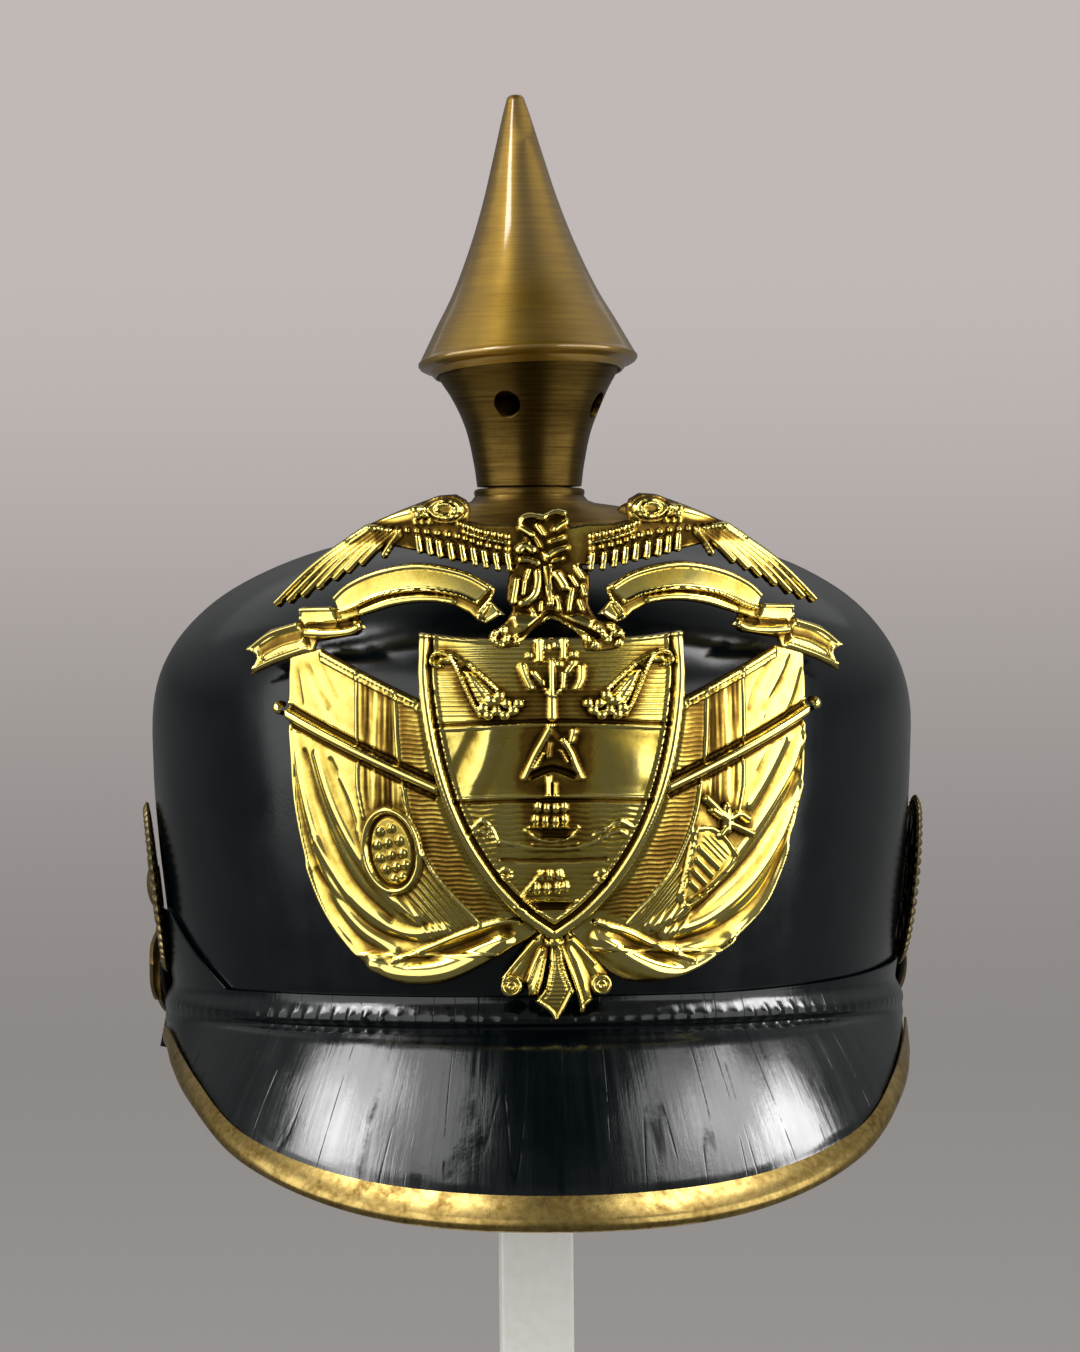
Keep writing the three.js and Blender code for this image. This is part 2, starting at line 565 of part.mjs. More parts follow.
// Bends a flat plate on: it follows the skull, clears the peak's flange and leans back at the top.
function bendOntoSkull(geometry) {
  const place = geometry.attributes.position;
  const [a, b] = [skull.halfWidth, skull.halfWidth * skull.lengthRatio];
  const stretch = (b ** 2 - a ** 2) / (6 * a ** 4);
  for (let i = 0; i < place.count; i += 1) {
    const [x, y, z] = [place.getX(i), place.getY(i), place.getZ(i)];
    const turn = THREE.MathUtils.radToDeg(x / a - stretch * x ** 3 / a);
    const clear = lerp(plate.flangeClearance, plate.clearance, smooth(y, 1, 13));
    const over = Math.max(0, y - plate.leanFrom);
    const back = plate.leanRadius - Math.sqrt(plate.leanRadius ** 2 - over ** 2);
    const { point } = beside(turn, Math.min(y, skull.widestHeight), clear + z);
    point.y += back;
    point.z = y;
    place.setXYZ(i, point.x, point.y, point.z);
  }
}

function makeFrontPlate() {
  const sides = [1, -1].flatMap((side) => [makeFlag(side), makeScroll(side), makeWing(side)]);
  const below = toSolid(new THREE.BoxGeometry(400, 400, 20).translate(0, 50, -10));
  const parts = [...sides, makeBird(), makeKnot()];
  const whole = parts.reduce((made, part) => made.add(part), makeShield()).subtract(below);
  const geometry = splitLongEdges(toGeometry(whole), plate.span);
  bendOntoSkull(geometry);
  return piece('front_plate', geometry, gilt);
}

// Rosette: a beaded dish with petals and a boss, on a stem that seats on the side of the skull.
function makeRosette(name, side) {
  const { radius, standOff, metal, beads, petals } = rosette;
  const around = (count, i) => i * 2 * Math.PI / count;
  const rim = Array.from({ length: 2 * beads }, (_, i) => {
    const reach = radius + (i % 2 ? rosette.beadDepth : -rosette.beadDepth);
    return new THREE.Vector2(reach * Math.cos(around(2 * beads, i)), reach * Math.sin(around(2 * beads, i)));
  });
  const dish = new THREE.ExtrudeGeometry(new THREE.Shape(rim), { depth: metal, bevelEnabled: false });
  dish.translate(0, 0, standOff);
  const stem = new THREE.CylinderGeometry(rosette.stemRadius, rosette.stemRadius, standOff, 12);
  stem.rotateX(Math.PI / 2).translate(0, 0, gap + standOff / 2);
  const boss = new THREE.SphereGeometry(1, 10, 4).rotateX(Math.PI / 2);
  boss.scale(rosette.bossRadius, rosette.bossRadius, rosette.bossRise).translate(0, 0, standOff + 0.6);
  const leaves = Array.from({ length: petals }, (_, i) => new THREE.OctahedronGeometry(1)
    .scale(7, 3, 1.3).translate(12.4, 0, standOff + 0.6).rotateZ(around(petals, i)));
  const mesh = piece(name, toGeometry(union([dish, stem, boss, ...leaves])), agedBrass);
  const { point } = beside(side * 90, rosette.height, 0);
  const tilt = Math.atan2(skullHalfWidth(rosette.height + 5) - skullHalfWidth(rosette.height - 5), 10);
  mesh.position.copy(point);
  mesh.rotation.set(0, side * (Math.PI / 2 + tilt), 0);
  return mesh;
}

// Chin strap, from a rosette down and round the back: where its middle runs, and its width.
const strapRoute = [
  { turn: 99.3, height: 8.2, offset: 2.4, half: 6.6 }, { turn: 103, height: 4, offset: 3.5, half: 8.8 },
  { turn: 112, height: 2.2, offset: 3.5, half: 9 },
  { turn: 128, height: 3.6, offset: 3.4, half: 8.6 }, { turn: 150, height: 4.4, offset: 3.4, half: 7.8 },
  { turn: 166, height: 4.6, offset: 4.6, half: 7.2 }, { turn: 174, height: 4.6, offset: 5.5, half: 7 },
  { turn: 179.2, height: 4.6, offset: 5.1, half: 7 },
];

function strapCurve(side) {
  const points = strapRoute.map(({ turn, height, offset }) => beside(side * turn, height, offset).point);
  const curve = new THREE.CatmullRomCurve3(points, false, 'centripetal');
  return { curve, length: curve.getLength() };
}

function onStrap({ curve, length }, distance, across, up) {
  const at = THREE.MathUtils.clamp(distance / length, 0, 1);
  const middle = curve.getPointAt(at);
  const turn = Math.atan2(middle.x * skull.lengthRatio, -middle.y / skull.lengthRatio);
  const outward = new THREE.Vector3(Math.sin(turn), -Math.cos(turn), 0);
  const ahead = curve.getTangentAt(at);
  const aside = new THREE.Vector3().crossVectors(outward, ahead).normalize();
  return middle.addScaledVector(aside, across).addScaledVector(outward, up);
}

function halfAlong(length, distance) {
  const spot = distance / length * (strapRoute.length - 1);
  const low = Math.min(Math.floor(spot), strapRoute.length - 2);
  return lerp(strapRoute[low].half, strapRoute[low + 1].half, spot - low);
}

function makeStrap(name, side) {
  const route = strapCurve(side);
  const steps = 20;
  const corners = [[-1, 0], [1, 0], [1, strap.leather], [-1, strap.leather]];
  const outline = corners.map(([x, y]) => new THREE.Vector2(x, y));
  const sections = Array.from({ length: steps + 1 }, (_, i) => {
    const distance = i / steps * (route.length - gap);
    const half = halfAlong(route.length, distance);
    return corners.map(([x, y]) => onStrap(route, distance, x * half, y));
  });
  return piece(name, loft(sections, outline), strapLeather);
}

// The scales lie like roof tiles, each rounded end over the root of the next.
function makeScales(name, side) {
  const route = strapCurve(side);
  const last = route.length - clasp.length / 2 - 1;
  const count = Math.round((last - strap.firstScale) / strap.scalePitch);
  const pitch = (last - strap.firstScale) / count;
  const shape = [
    { along: 0, width: 0.96 }, { along: 0.7, width: 1 }, { along: 1, width: 0.5 },
  ];
  const scales = Array.from({ length: count }, (_, i) => {
    const reach = i + 1 < count ? pitch * strap.scaleOverlap : pitch;
    const sections = shape.map(({ along, width }) => {
      const distance = strap.firstScale + i * pitch + along * reach;
      const half = halfAlong(route.length, distance) * width;
      const low = strap.leather + gap + along * strap.scaleRise;
      const high = low + strap.scaleMetal;
      const corners = [[-half, low], [half, low], [half, high], [-half, high]];
      return corners.map(([x, y]) => onStrap(route, distance, x, y));
    });
    return loft(sections, [[-1, 0], [1, 0], [1, 1], [-1, 1]].map(([x, y]) => new THREE.Vector2(x, y)));
  });
  return piece(name, toGeometry(union(scales)), agedBrass);
}

// Plain sleeve over the meeting ends of the strap at the back.
function makeClasp() {
  const { offset, height } = strapRoute.at(-1);
  const inside = strap.leather + 3 * gap;
  const corners = [[-0.5, -0.5], [0.5, -0.5], [0.5, 0.5], [-0.5, 0.5]];
  const box = (wide, high) => corners.map(([x, y]) => new THREE.Vector2(x * wide, y * high));
  const shape = new THREE.Shape(box(inside + 2 * clasp.wall, clasp.height));
  shape.holes.push(new THREE.Path(box(inside, clasp.height - 2 * clasp.wall).reverse()));
  const sleeve = new THREE.ExtrudeGeometry(shape, { depth: clasp.length, bevelEnabled: false });
  sleeve.translate(0, 0, -clasp.length / 2).rotateX(Math.PI / 2).rotateZ(Math.PI / 2);
  const mesh = piece('chin_clasp', sleeve, agedBrass);
  const back = beside(180, height, offset + strap.leather / 2).point;
  mesh.position.copy(back);
  return mesh;
}

// Rear spine: a ridged strip down the middle of the back, from the spike base to the peak's edge.
function makeSpine() {
  const rearLine = [];
  for (const radius of [36.6, 48, 58, 67, 75, 81.5, 86.4, 89.8]) {
    rearLine.push(new THREE.Vector3(0, radius * skull.lengthRatio, crownHeightAt(radius)));
  }
  for (const height of [60, 45, 30, 15, 6]) rearLine.push(beside(180, height, 0).point);
  const { outline } = peakSection(rearReach, 0);
  for (const corner of outline.slice(1, 6)) rearLine.push(standOnSeam(180, 0, corner));
  const profile = [[-1, 0], [1, 0], [1, spine.edgeRise], [0, spine.ridgeRise], [-1, spine.edgeRise]];
  const sections = rearLine.map((point, i) => {
    const [before, after] = [rearLine[Math.max(i - 1, 0)], rearLine[Math.min(i + 1, rearLine.length - 1)]];
    const up = new THREE.Vector3(0, before.z - after.z, after.y - before.y).normalize();
    const lifted = (rise) => point.clone().addScaledVector(up, rise + gap + 0.1);
    return profile.map(([x, y]) => lifted(y).setX(x * spine.halfWidth));
  });
  return piece('rear_spine', loft(sections, profile.map(([x, y]) => new THREE.Vector2(x, y))), agedBrass);
}

// Stand: a square foot, a square post and a pad that fills the inside of the crown.
function makeStand() {
  const half = stand.baseSide / 2 - stand.bevel;
  const inner = half - stand.corner;
  const shape = new THREE.Shape();
  [[1, 1], [-1, 1], [-1, -1], [1, -1]].forEach(([x, y], i) => {
    shape.absarc(x * inner, y * inner, stand.corner, i * Math.PI / 2, (i + 1) * Math.PI / 2);
  });
  const foot = new THREE.ExtrudeGeometry(shape, {
    depth: stand.baseHeight - 2 * stand.bevel, curveSegments: 2,
    bevelSize: stand.bevel, bevelThickness: stand.bevel, bevelSegments: 1,
  }).translate(0, 0, stand.bevel);
  const padTop = skull.crownHeight - skull.wall - gap;
  const padBottom = seamHeight + padTop - stand.padDrop;
  const postBottom = stand.baseHeight + gap;
  const postTop = padBottom - gap;
  const post = new THREE.BoxGeometry(stand.post, stand.post, postTop - postBottom);
  post.translate(0, 0, (postTop + postBottom) / 2);
  const dome = [0, 0.3, 0.6, 0.85, 1].map((share) => share * stand.padRadius)
    .map((radius) => [radius, crownHeightAt(radius, skull.wall) - gap - 0.1]);
  const under = padTop - stand.padDrop;
  const pad = lathe([[0, under], [stand.padRadius, under], ...dome.reverse()], 16);
  pad.scale(1, skull.lengthRatio, 1).translate(0, 0, seamHeight);
  const solids = { stand_foot: foot, stand_post: post, stand_pad: pad };
  return Object.entries(solids).map(([name, geometry]) => piece(name, geometry, acrylic));
}

const helmet = new THREE.Group();
helmet.position.z = seamHeight;
helmet.add(
  makeSkull(), makePeak('front_peak', frontReach, 0), makePeak('rear_peak', rearReach, 180), makeTrim(),
  makeCone(), makeNeck(), makeSpikeBase(), makeFrontPlate(), makeSpine(), makeClasp(),
);
for (const [word, side] of [['left', -1], ['right', 1]]) {
  helmet.add(
    makeRosette(`rosette_${word}`, side), makeStrap(`chin_strap_${word}`, side),
    makeScales(`chin_scales_${word}`, side),
  );
}

const model = new THREE.Group();
model.add(helmet, ...makeStand());

export default model;
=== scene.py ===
# A spiked leather helmet with brass fittings, on a plain stand.
# Shapes are worked out in millimetres, with heights above the seam where the peaks are sewn on.
import math

import bpy
import numpy as np
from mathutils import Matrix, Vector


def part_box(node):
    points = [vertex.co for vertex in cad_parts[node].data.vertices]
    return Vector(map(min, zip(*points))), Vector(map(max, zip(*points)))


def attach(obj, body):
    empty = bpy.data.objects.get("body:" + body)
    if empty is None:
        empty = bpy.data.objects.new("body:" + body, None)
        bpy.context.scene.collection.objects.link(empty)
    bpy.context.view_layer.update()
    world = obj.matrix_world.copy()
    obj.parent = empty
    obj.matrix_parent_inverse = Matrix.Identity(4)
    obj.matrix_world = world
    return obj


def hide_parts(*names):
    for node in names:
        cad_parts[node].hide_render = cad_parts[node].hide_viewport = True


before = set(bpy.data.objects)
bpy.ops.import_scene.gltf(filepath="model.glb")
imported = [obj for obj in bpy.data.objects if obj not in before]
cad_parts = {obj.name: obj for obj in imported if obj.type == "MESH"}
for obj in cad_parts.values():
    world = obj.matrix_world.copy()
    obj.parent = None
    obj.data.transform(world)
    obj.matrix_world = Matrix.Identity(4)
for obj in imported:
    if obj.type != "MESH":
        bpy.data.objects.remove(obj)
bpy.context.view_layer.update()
mm = 0.001
print("frame:", len(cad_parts), "nodes")

skull = {
    "halfWidth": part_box("skull")[1].x / mm,
    "lengthRatio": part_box("skull")[1].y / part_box("skull")[1].x,
    "seam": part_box("front_peak")[1].z / mm,
    "rimDrop": 9, "widest": 60, "crown": 110, "crownPower": 2.35, "seamTuck": 5.6, "tuckPower": 1.6,
    "wall": 2.6, "vent": 10, "dentSize": 42, "dentDepth": 0.9,
}


# Skull form
def halfWidthAt(height):
    below = np.clip((skull["widest"] - height) / skull["widest"], 0, None)
    return skull["halfWidth"] - skull["seamTuck"] * below ** skull["tuckPower"]


def crownAt(radius, inset=0.0):
    share = np.clip(radius / (skull["halfWidth"] - inset), 0, 1)
    rise = skull["crown"] - inset - skull["widest"]
    return skull["widest"] + rise * (1 - share ** skull["crownPower"]) ** (1 / skull["crownPower"])


def beside(turn, height, offset):  # turn in degrees from the front towards +X
    a = halfWidthAt(np.minimum(height, skull["widest"]))
    b = a * skull["lengthRatio"]
    sine, cosine = np.sin(np.radians(turn)), np.cos(np.radians(turn))
    length = np.hypot(sine / a, cosine / b)
    x = a * sine + offset * sine / a / length
    y = -b * cosine - offset * cosine / b / length
    return x, y, height + 0 * x


def toFrame(x, y, z):
    return np.stack(np.broadcast_arrays(x, y, z + skull["seam"]), -1) * mm


# Small tools
def smoothStep(value, low, high):
    share = np.clip((value - low) / (high - low), 0, 1)
    return share * share * (3 - 2 * share)


def mix(low, high, share):
    return low + (high - low) * share


def smoothLine(points, steps):  # a smooth curve through the points
    p = np.array(points, float)
    p = np.vstack([2 * p[0] - p[1], p, 2 * p[-1] - p[-2]])
    t = (np.arange(steps) / steps)[:, None]
    line = []
    for before, start, end, after in zip(p, p[1:], p[2:], p[3:]):
        line.append(start + 0.5 * t * (end - before + t * (
            2 * before - 5 * start + 4 * end - after + t * (3 * (start - end) + after - before))))
    return np.vstack(line + [p[-2]])


def readTable(table, column, at):  # eased through the rows of a table, level at its first row
    keys, values = np.array(table["turn"], float), np.array(table[column], float)
    slopes = np.gradient(values, keys)
    slopes[0] = 0
    i = np.clip(np.searchsorted(keys, at) - 1, 0, len(keys) - 2)
    width = keys[i + 1] - keys[i]
    t = np.clip((at - keys[i]) / width, 0, 1)
    return (values[i] * (1 + 2 * t) * (1 - t) ** 2 + slopes[i] * width * t * (1 - t) ** 2
            + values[i + 1] * t * t * (3 - 2 * t) + slopes[i + 1] * width * t * t * (t - 1))


def deselectAll():
    bpy.ops.object.select_all(action="DESELECT")


def readPoints(piece):
    points = np.empty(len(piece.data.vertices) * 3)
    piece.data.vertices.foreach_get("co", points)
    return points.reshape(-1, 3)


def writePoints(piece, points):
    piece.data.vertices.foreach_set("co", np.ascontiguousarray(points, np.float32).ravel())
    piece.data.update()


def gridPiece(name, columns, rows, place):  # a grid primitive laid where place says
    deselectAll()
    bpy.ops.mesh.primitive_grid_add(x_subdivisions=columns, y_subdivisions=rows, size=2)
    piece = bpy.context.object
    piece.name = name
    flat = (readPoints(piece) + 1) / 2
    writePoints(piece, place(flat[:, 0], flat[:, 1]))
    return piece


def spinProfile(name, rows, steps, base=None):  # a profile drawn by extruding a point, then spun
    deselectAll()
    low = skull["seam"] if base is None else base
    bpy.ops.mesh.primitive_plane_add(size=mm)
    piece = bpy.context.object
    piece.name = name
    bpy.ops.object.mode_set(mode="EDIT")
    bpy.ops.mesh.merge(type="CENTER")
    bpy.ops.transform.translate(value=(rows[0][0] * mm, 0, (rows[0][1] + low) * mm))
    for (r0, z0), (r1, z1) in zip(rows, rows[1:]):
        step = ((r1 - r0) * mm, 0, (z1 - z0) * mm)
        bpy.ops.mesh.extrude_vertices_move(TRANSFORM_OT_translate={"value": step})
    bpy.ops.mesh.select_all(action="SELECT")
    bpy.ops.mesh.spin(steps=steps, angle=2 * math.pi, center=(0, 0, 0), axis=(0, 0, 1))
    closeMesh()
    return piece


def closeMesh():  # merges the seam and poles of the active mesh and turns its faces outwards
    bpy.ops.object.mode_set(mode="EDIT")
    bpy.ops.mesh.select_all(action="SELECT")
    bpy.ops.mesh.remove_doubles(threshold=0.01 * mm)
    bpy.ops.mesh.normals_make_consistent(inside=False)
    bpy.ops.object.mode_set(mode="OBJECT")


def applyModifier(piece, kind, **settings):
    deselectAll()
    piece.select_set(True)
    bpy.context.view_layer.objects.active = piece
    bpy.ops.object.modifier_add(type=kind)
    modifier = piece.modifiers[-1]
    for key, value in settings.items():
        setattr(modifier, key, value)
    bpy.ops.object.modifier_apply(modifier=modifier.name)


def joinPieces(name, pieces):
    deselectAll()
    for piece in pieces:
        piece.select_set(True)
    bpy.context.view_layer.objects.active = pieces[0]
    bpy.ops.object.join()
    pieces[0].name = name
    return pieces[0]


def finishPiece(piece, node, material, smoothAngle=40):
    deselectAll()
    piece.select_set(True)
    bpy.context.view_layer.objects.active = piece
    bpy.ops.object.transform_apply(location=True, rotation=True, scale=True)
    bpy.ops.object.shade_smooth_by_angle(angle=math.radians(smoothAngle))
    piece.data.name = piece.name
    piece.data.materials.clear()
    piece.data.materials.append(material)
    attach(piece, "root")
    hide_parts(node)
    return piece


# Materials
def linear(hexColour):
    srgb = np.array([int(hexColour[i:i + 2], 16) for i in (1, 3, 5)]) / 255
    rgb = np.where(srgb <= 0.04045, srgb / 12.92, ((srgb + 0.055) / 1.055) ** 2.4)
    return (*rgb.tolist(), 1.0)


def addNode(tree, kind, inputs=None, **settings):
    node = tree.nodes.new(kind)
    for key, value in settings.items():
        setattr(node, key, value)
    for key, value in (inputs or {}).items():
        if isinstance(value, bpy.types.NodeSocket):
            tree.links.new(value, node.inputs[key])
        else:
            node.inputs[key].default_value = value
    return node


def newMaterial(name):
    material = bpy.data.materials.new(name)
    material.use_nodes = True
    material.node_tree.nodes.clear()
    return material, material.node_tree


def setRamp(node, stops):
    ramp = node.color_ramp
    for i, (position, colour) in enumerate(stops):
        stop = ramp.elements[i] if i < 2 else ramp.elements.new(position)
        stop.position = position
        stop.color = colour if len(colour) == 4 else (*colour, 1)
    return node


def grey(value):
    return (value, value, value, 1)


# Boiled cowhide under black lacquer: deep black with a cold gloss. Handling has left it dull in patches,
# polishing has drawn it in streaks from the seam to the edge, and age has crazed the peaks with dry cracks.
def lacqueredLeather(name, look):
    material, tree = newMaterial(name)
    place = addNode(tree, "ShaderNodeTexCoord").outputs["Object"]
    parts = addNode(tree, "ShaderNodeSeparateXYZ", {"Vector": place})
    forward = addNode(tree, "ShaderNodeMath", {0: parts.outputs["Y"], 1: -1.0}, operation="MULTIPLY")
    turn = addNode(tree, "ShaderNodeMath", {0: parts.outputs["X"], 1: forward.outputs["Value"]},
                   operation="ARCTAN2")
    arc = addNode(tree, "ShaderNodeMath", {0: turn.outputs["Value"], 1: 100 * mm}, operation="MULTIPLY")
    fall = addNode(tree, "ShaderNodeMath", {0: parts.outputs["Z"], 1: 0.07}, operation="MULTIPLY")
    drawn = addNode(tree, "ShaderNodeCombineXYZ", {"X": arc.outputs["Value"], "Z": fall.outputs["Value"]})
    streaks = addNode(tree, "ShaderNodeTexNoise", {
        "Vector": drawn.outputs["Vector"], "Scale": 1 / (look["streaks"] * mm), "Detail": 5.0,
        "Roughness": 0.65})
    patches = addNode(tree, "ShaderNodeTexNoise", {
        "Vector": place, "Scale": 1 / (look["patches"] * mm), "Detail": 5.0, "Roughness": 0.62})
    grain = addNode(tree, "ShaderNodeTexNoise", {
        "Vector": place, "Scale": 1 / (look["grain"] * mm), "Detail": 4.0, "Roughness": 0.6})
    wear = addNode(tree, "ShaderNodeMixRGB", {
        "Fac": look["streakShare"], "Color1": patches.outputs["Fac"], "Color2": streaks.outputs["Fac"]})
    gloss = setRamp(addNode(tree, "ShaderNodeValToRGB", {"Fac": wear.outputs["Color"]}),
                    [(0.36, grey(look["gloss"])), (0.7, grey(look["dull"]))])
    colour = setRamp(addNode(tree, "ShaderNodeValToRGB", {"Fac": wear.outputs["Color"]}),
                     [(0.4, linear(look["colour"])), (0.75, linear(look["worn"]))])
    waves = addNode(tree, "ShaderNodeBump", {
        "Strength": look["waveStrength"], "Distance": 1 * mm, "Height": wear.outputs["Color"]})
    bump = addNode(tree, "ShaderNodeBump", {
        "Strength": 0.2, "Distance": 0.05 * mm, "Height": grain.outputs["Fac"],
        "Normal": waves.outputs["Normal"]})
    shader = addNode(tree, "ShaderNodeBsdfPrincipled", {
        "Base Color": colour.outputs["Color"], "Roughness": gloss.outputs["Color"], "IOR": 1.5,
        "Normal": bump.outputs["Normal"]})
    if look["cracks"]:  # long hair cracks that run with the fall and break off where the lacquer is sound
        hairs = addNode(tree, "ShaderNodeTexNoise", {
            "Vector": drawn.outputs["Vector"], "Scale": 1 / (look["cracks"] * mm), "Detail": 1.0,
            "Roughness": 0.4})
        level = addNode(tree, "ShaderNodeMath", {0: hairs.outputs["Fac"], 1: 0.5}, operation="SUBTRACT")
        away = addNode(tree, "ShaderNodeMath", {0: level.outputs["Value"]}, operation="ABSOLUTE")
        line = setRamp(addNode(tree, "ShaderNodeValToRGB", {"Fac": away.outputs["Value"]}),
                       [(0.0, grey(1.0)), (look["crackWidth"], grey(0.0))])
        broken = setRamp(addNode(tree, "ShaderNodeValToRGB", {"Fac": patches.outputs["Fac"]}),
                         [(0.44, grey(0.0)), (0.54, grey(1.0))])
        crack = addNode(tree, "ShaderNodeMath", {0: line.outputs["Color"], 1: broken.outputs["Color"]},
                        operation="MULTIPLY")
        shine = addNode(tree, "ShaderNodeMapRange", {
            "Value": crack.outputs["Value"], "To Min": 0.5, "To Max": 0.1})
        tree.links.new(shine.outputs["Result"], shader.inputs["Specular IOR Level"])
        dips = addNode(tree, "ShaderNodeBump", {
            "Strength": 0.3, "Distance": 0.1 * mm, "Height": crack.outputs["Value"],
            "Normal": bump.outputs["Normal"]}, invert=True)
        tree.links.new(dips.outputs["Normal"], shader.inputs["Normal"])
    addNode(tree, "ShaderNodeOutputMaterial", {"Surface": shader.outputs["BSDF"]})
    return material


skullLeather = lacqueredLeather("lacqueredLeather", {
    "colour": "#01070a", "worn": "#060d10", "gloss": 0.12, "dull": 0.26, "grain": 1.1, "patches": 24,
    "streaks": 6, "streakShare": 0.25, "cracks": 0, "waveStrength": 0.06})
peakLeather = lacqueredLeather("crazedLeather", {
    "colour": "#010506", "worn": "#070d0f", "gloss": 0.1, "dull": 0.26, "grain": 1.1, "patches": 14,
    "streaks": 3.2, "streakShare": 0.6, "cracks": 9, "crackWidth": 0.008, "waveStrength": 0.14})
strapLeather = lacqueredLeather("strapLeather", {  # bare belt leather, dull and a little brown
    "colour": "#100d0b", "worn": "#1d1713", "gloss": 0.55, "dull": 0.7, "grain": 0.8, "patches": 10,
    "streaks": 4, "streakShare": 0.2, "cracks": 0, "waveStrength": 0.1})


# Spun and stamped brass: the finish differs by how each part was worked and handled.
def brass(name, look):
    material, tree = newMaterial(name)
    place = addNode(tree, "ShaderNodeTexCoord").outputs["Object"]
    drawn = addNode(tree, "ShaderNodeMapping", {"Vector": place, "Scale": look["stretch"]})
    lines = addNode(tree, "ShaderNodeTexNoise", {
        "Vector": drawn.outputs["Vector"], "Scale": 1 / (look["lines"] * mm), "Detail": 3.0})
    stains = addNode(tree, "ShaderNodeTexNoise", {
        "Vector": place, "Scale": 1 / (look["stains"] * mm), "Detail": 6.0, "Roughness": 0.68})
    uneven = addNode(tree, "ShaderNodeMixRGB", {
        "Fac": look["lineShare"], "Color1": stains.outputs["Fac"], "Color2": lines.outputs["Fac"]})
    colour = setRamp(addNode(tree, "ShaderNodeValToRGB", {"Fac": uneven.outputs["Color"]}), [
        (look["stainFrom"], linear(look["tarnish"])), (look["stainTo"], linear(look["colour"]))])
    gloss = setRamp(addNode(tree, "ShaderNodeValToRGB", {"Fac": stains.outputs["Fac"]}), [
        (look["stainFrom"], grey(look["rough"] + 0.16)), (look["stainTo"], grey(look["rough"]))])
    bump = addNode(tree, "ShaderNodeBump", {
        "Strength": look["lineStrength"], "Distance": 0.05 * mm, "Height": lines.outputs["Fac"]})
    shader = addNode(tree, "ShaderNodeBsdfPrincipled", {
        "Base Color": colour.outputs["Color"], "Metallic": 1.0, "Roughness": gloss.outputs["Color"],
        "Normal": bump.outputs["Normal"], "Anisotropic": look["spun"], "Anisotropic Rotation": 0.25,
        "Coat Weight": look["lacquer"], "Coat Roughness": 0.1, "Coat IOR": 2.2})
    if look["spun"]:
        around = addNode(tree, "ShaderNodeTangent", direction_type="RADIAL", axis="Z")
        tree.links.new(around.outputs["Tangent"], shader.inputs["Tangent"])
    addNode(tree, "ShaderNodeOutputMaterial", {"Surface": shader.outputs["BSDF"]})
    return material


spunBrass = brass("spunBrass", {
    "colour": "#d6ab3e", "tarnish": "#b68e30", "stainFrom": 0.36, "stainTo": 0.64, "stains": 18,
    "rough": 0.42, "lines": 0.6, "stretch": (0.04, 0.04, 1), "lineShare": 0.5, "lineStrength": 0.06,
    "spun": 0.6, "lacquer": 1.0})
darkBrass = brass("darkenedBrass", {
    "colour": "#846a33", "tarnish": "#523f1a", "stainFrom": 0.34, "stainTo": 0.66, "stains": 14,
    "rough": 0.34, "lines": 0.6, "stretch": (0.04, 0.04, 1), "lineShare": 0.6, "lineStrength": 0.15,
    "spun": 0.8, "lacquer": 0.0})
edgeBrass = brass("bindingBrass", {
    "colour": "#cfb26a", "tarnish": "#7d612b", "stainFrom": 0.36, "stainTo": 0.58, "stains": 6, "rough": 0.26,
    "lines": 1.4, "stretch": (1, 1, 1), "lineShare": 0.3, "lineStrength": 0.15, "spun": 0.0, "lacquer": 0.0})
rosetteBrass = brass("agedSheetBrass", {
    "colour": "#cdb987", "tarnish": "#7f6c42", "stainFrom": 0.36, "stainTo": 0.62, "stains": 9, "rough": 0.28,
    "lines": 0.8, "stretch": (1, 1, 1), "lineShare": 0.2, "lineStrength": 0.1, "spun": 0.0, "lacquer": 0.0})


# Stamped sheet brass, kept polished: bright where the cloth reaches, brown where the polish has gathered in
# the hollows, and darker where painted shade and painted dark reflections are laid on
def stampedBrass():
    material, tree = newMaterial("stampedBrass")
    place = addNode(tree, "ShaderNodeTexCoord").outputs["Object"]
    recess = addNode(tree, "ShaderNodeAttribute", attribute_name="recess").outputs["Fac"]
    depth = addNode(tree, "ShaderNodeMapRange", {"Value": recess, "From Min": -0.3, "From Max": 0.7})
    stains = addNode(tree, "ShaderNodeTexNoise", {
        "Vector": place, "Scale": 1 / (9 * mm), "Detail": 7.0, "Roughness": 0.7})
    uneven = addNode(tree, "ShaderNodeMapRange", {
        "Value": stains.outputs["Fac"], "From Min": 0.3, "From Max": 0.7, "To Min": -0.16, "To Max": 0.16})
    # the colour darkens with this: polish in the hollows, random stains, and painted shade and painted dark
    # reflection
    stainsAndShade = addNode(tree, "ShaderNodeMath", {0: depth.outputs["Result"], 1: uneven.outputs["Result"]},
                   operation="ADD")
    colour = setRamp(addNode(tree, "ShaderNodeValToRGB", {"Fac": stainsAndShade.outputs["Value"]}), [
        (0.2, linear("#f0dd80")), (0.4, linear("#d8be56")), (0.58, linear("#8a6a2a")),
        (0.88, linear("#3e2c0c"))])
    gloss = setRamp(addNode(tree, "ShaderNodeValToRGB", {"Fac": stainsAndShade.outputs["Value"]}),
                    [(0.25, grey(0.13)), (0.75, grey(0.4))])
    marks = addNode(tree, "ShaderNodeTexNoise", {"Vector": place, "Scale": 1 / (1.1 * mm), "Detail": 3.0})
    bump = addNode(tree, "ShaderNodeBump", {
        "Strength": 0.12, "Distance": 0.05 * mm, "Height": marks.outputs["Fac"]})
    shader = addNode(tree, "ShaderNodeBsdfPrincipled", {
        "Base Color": colour.outputs["Color"], "Metallic": 1.0, "Roughness": gloss.outputs["Color"],
        "Normal": bump.outputs["Normal"]})
    addNode(tree, "ShaderNodeOutputMaterial", {"Surface": shader.outputs["BSDF"]})
    return material


plateBrass = stampedBrass()
print("materials made")


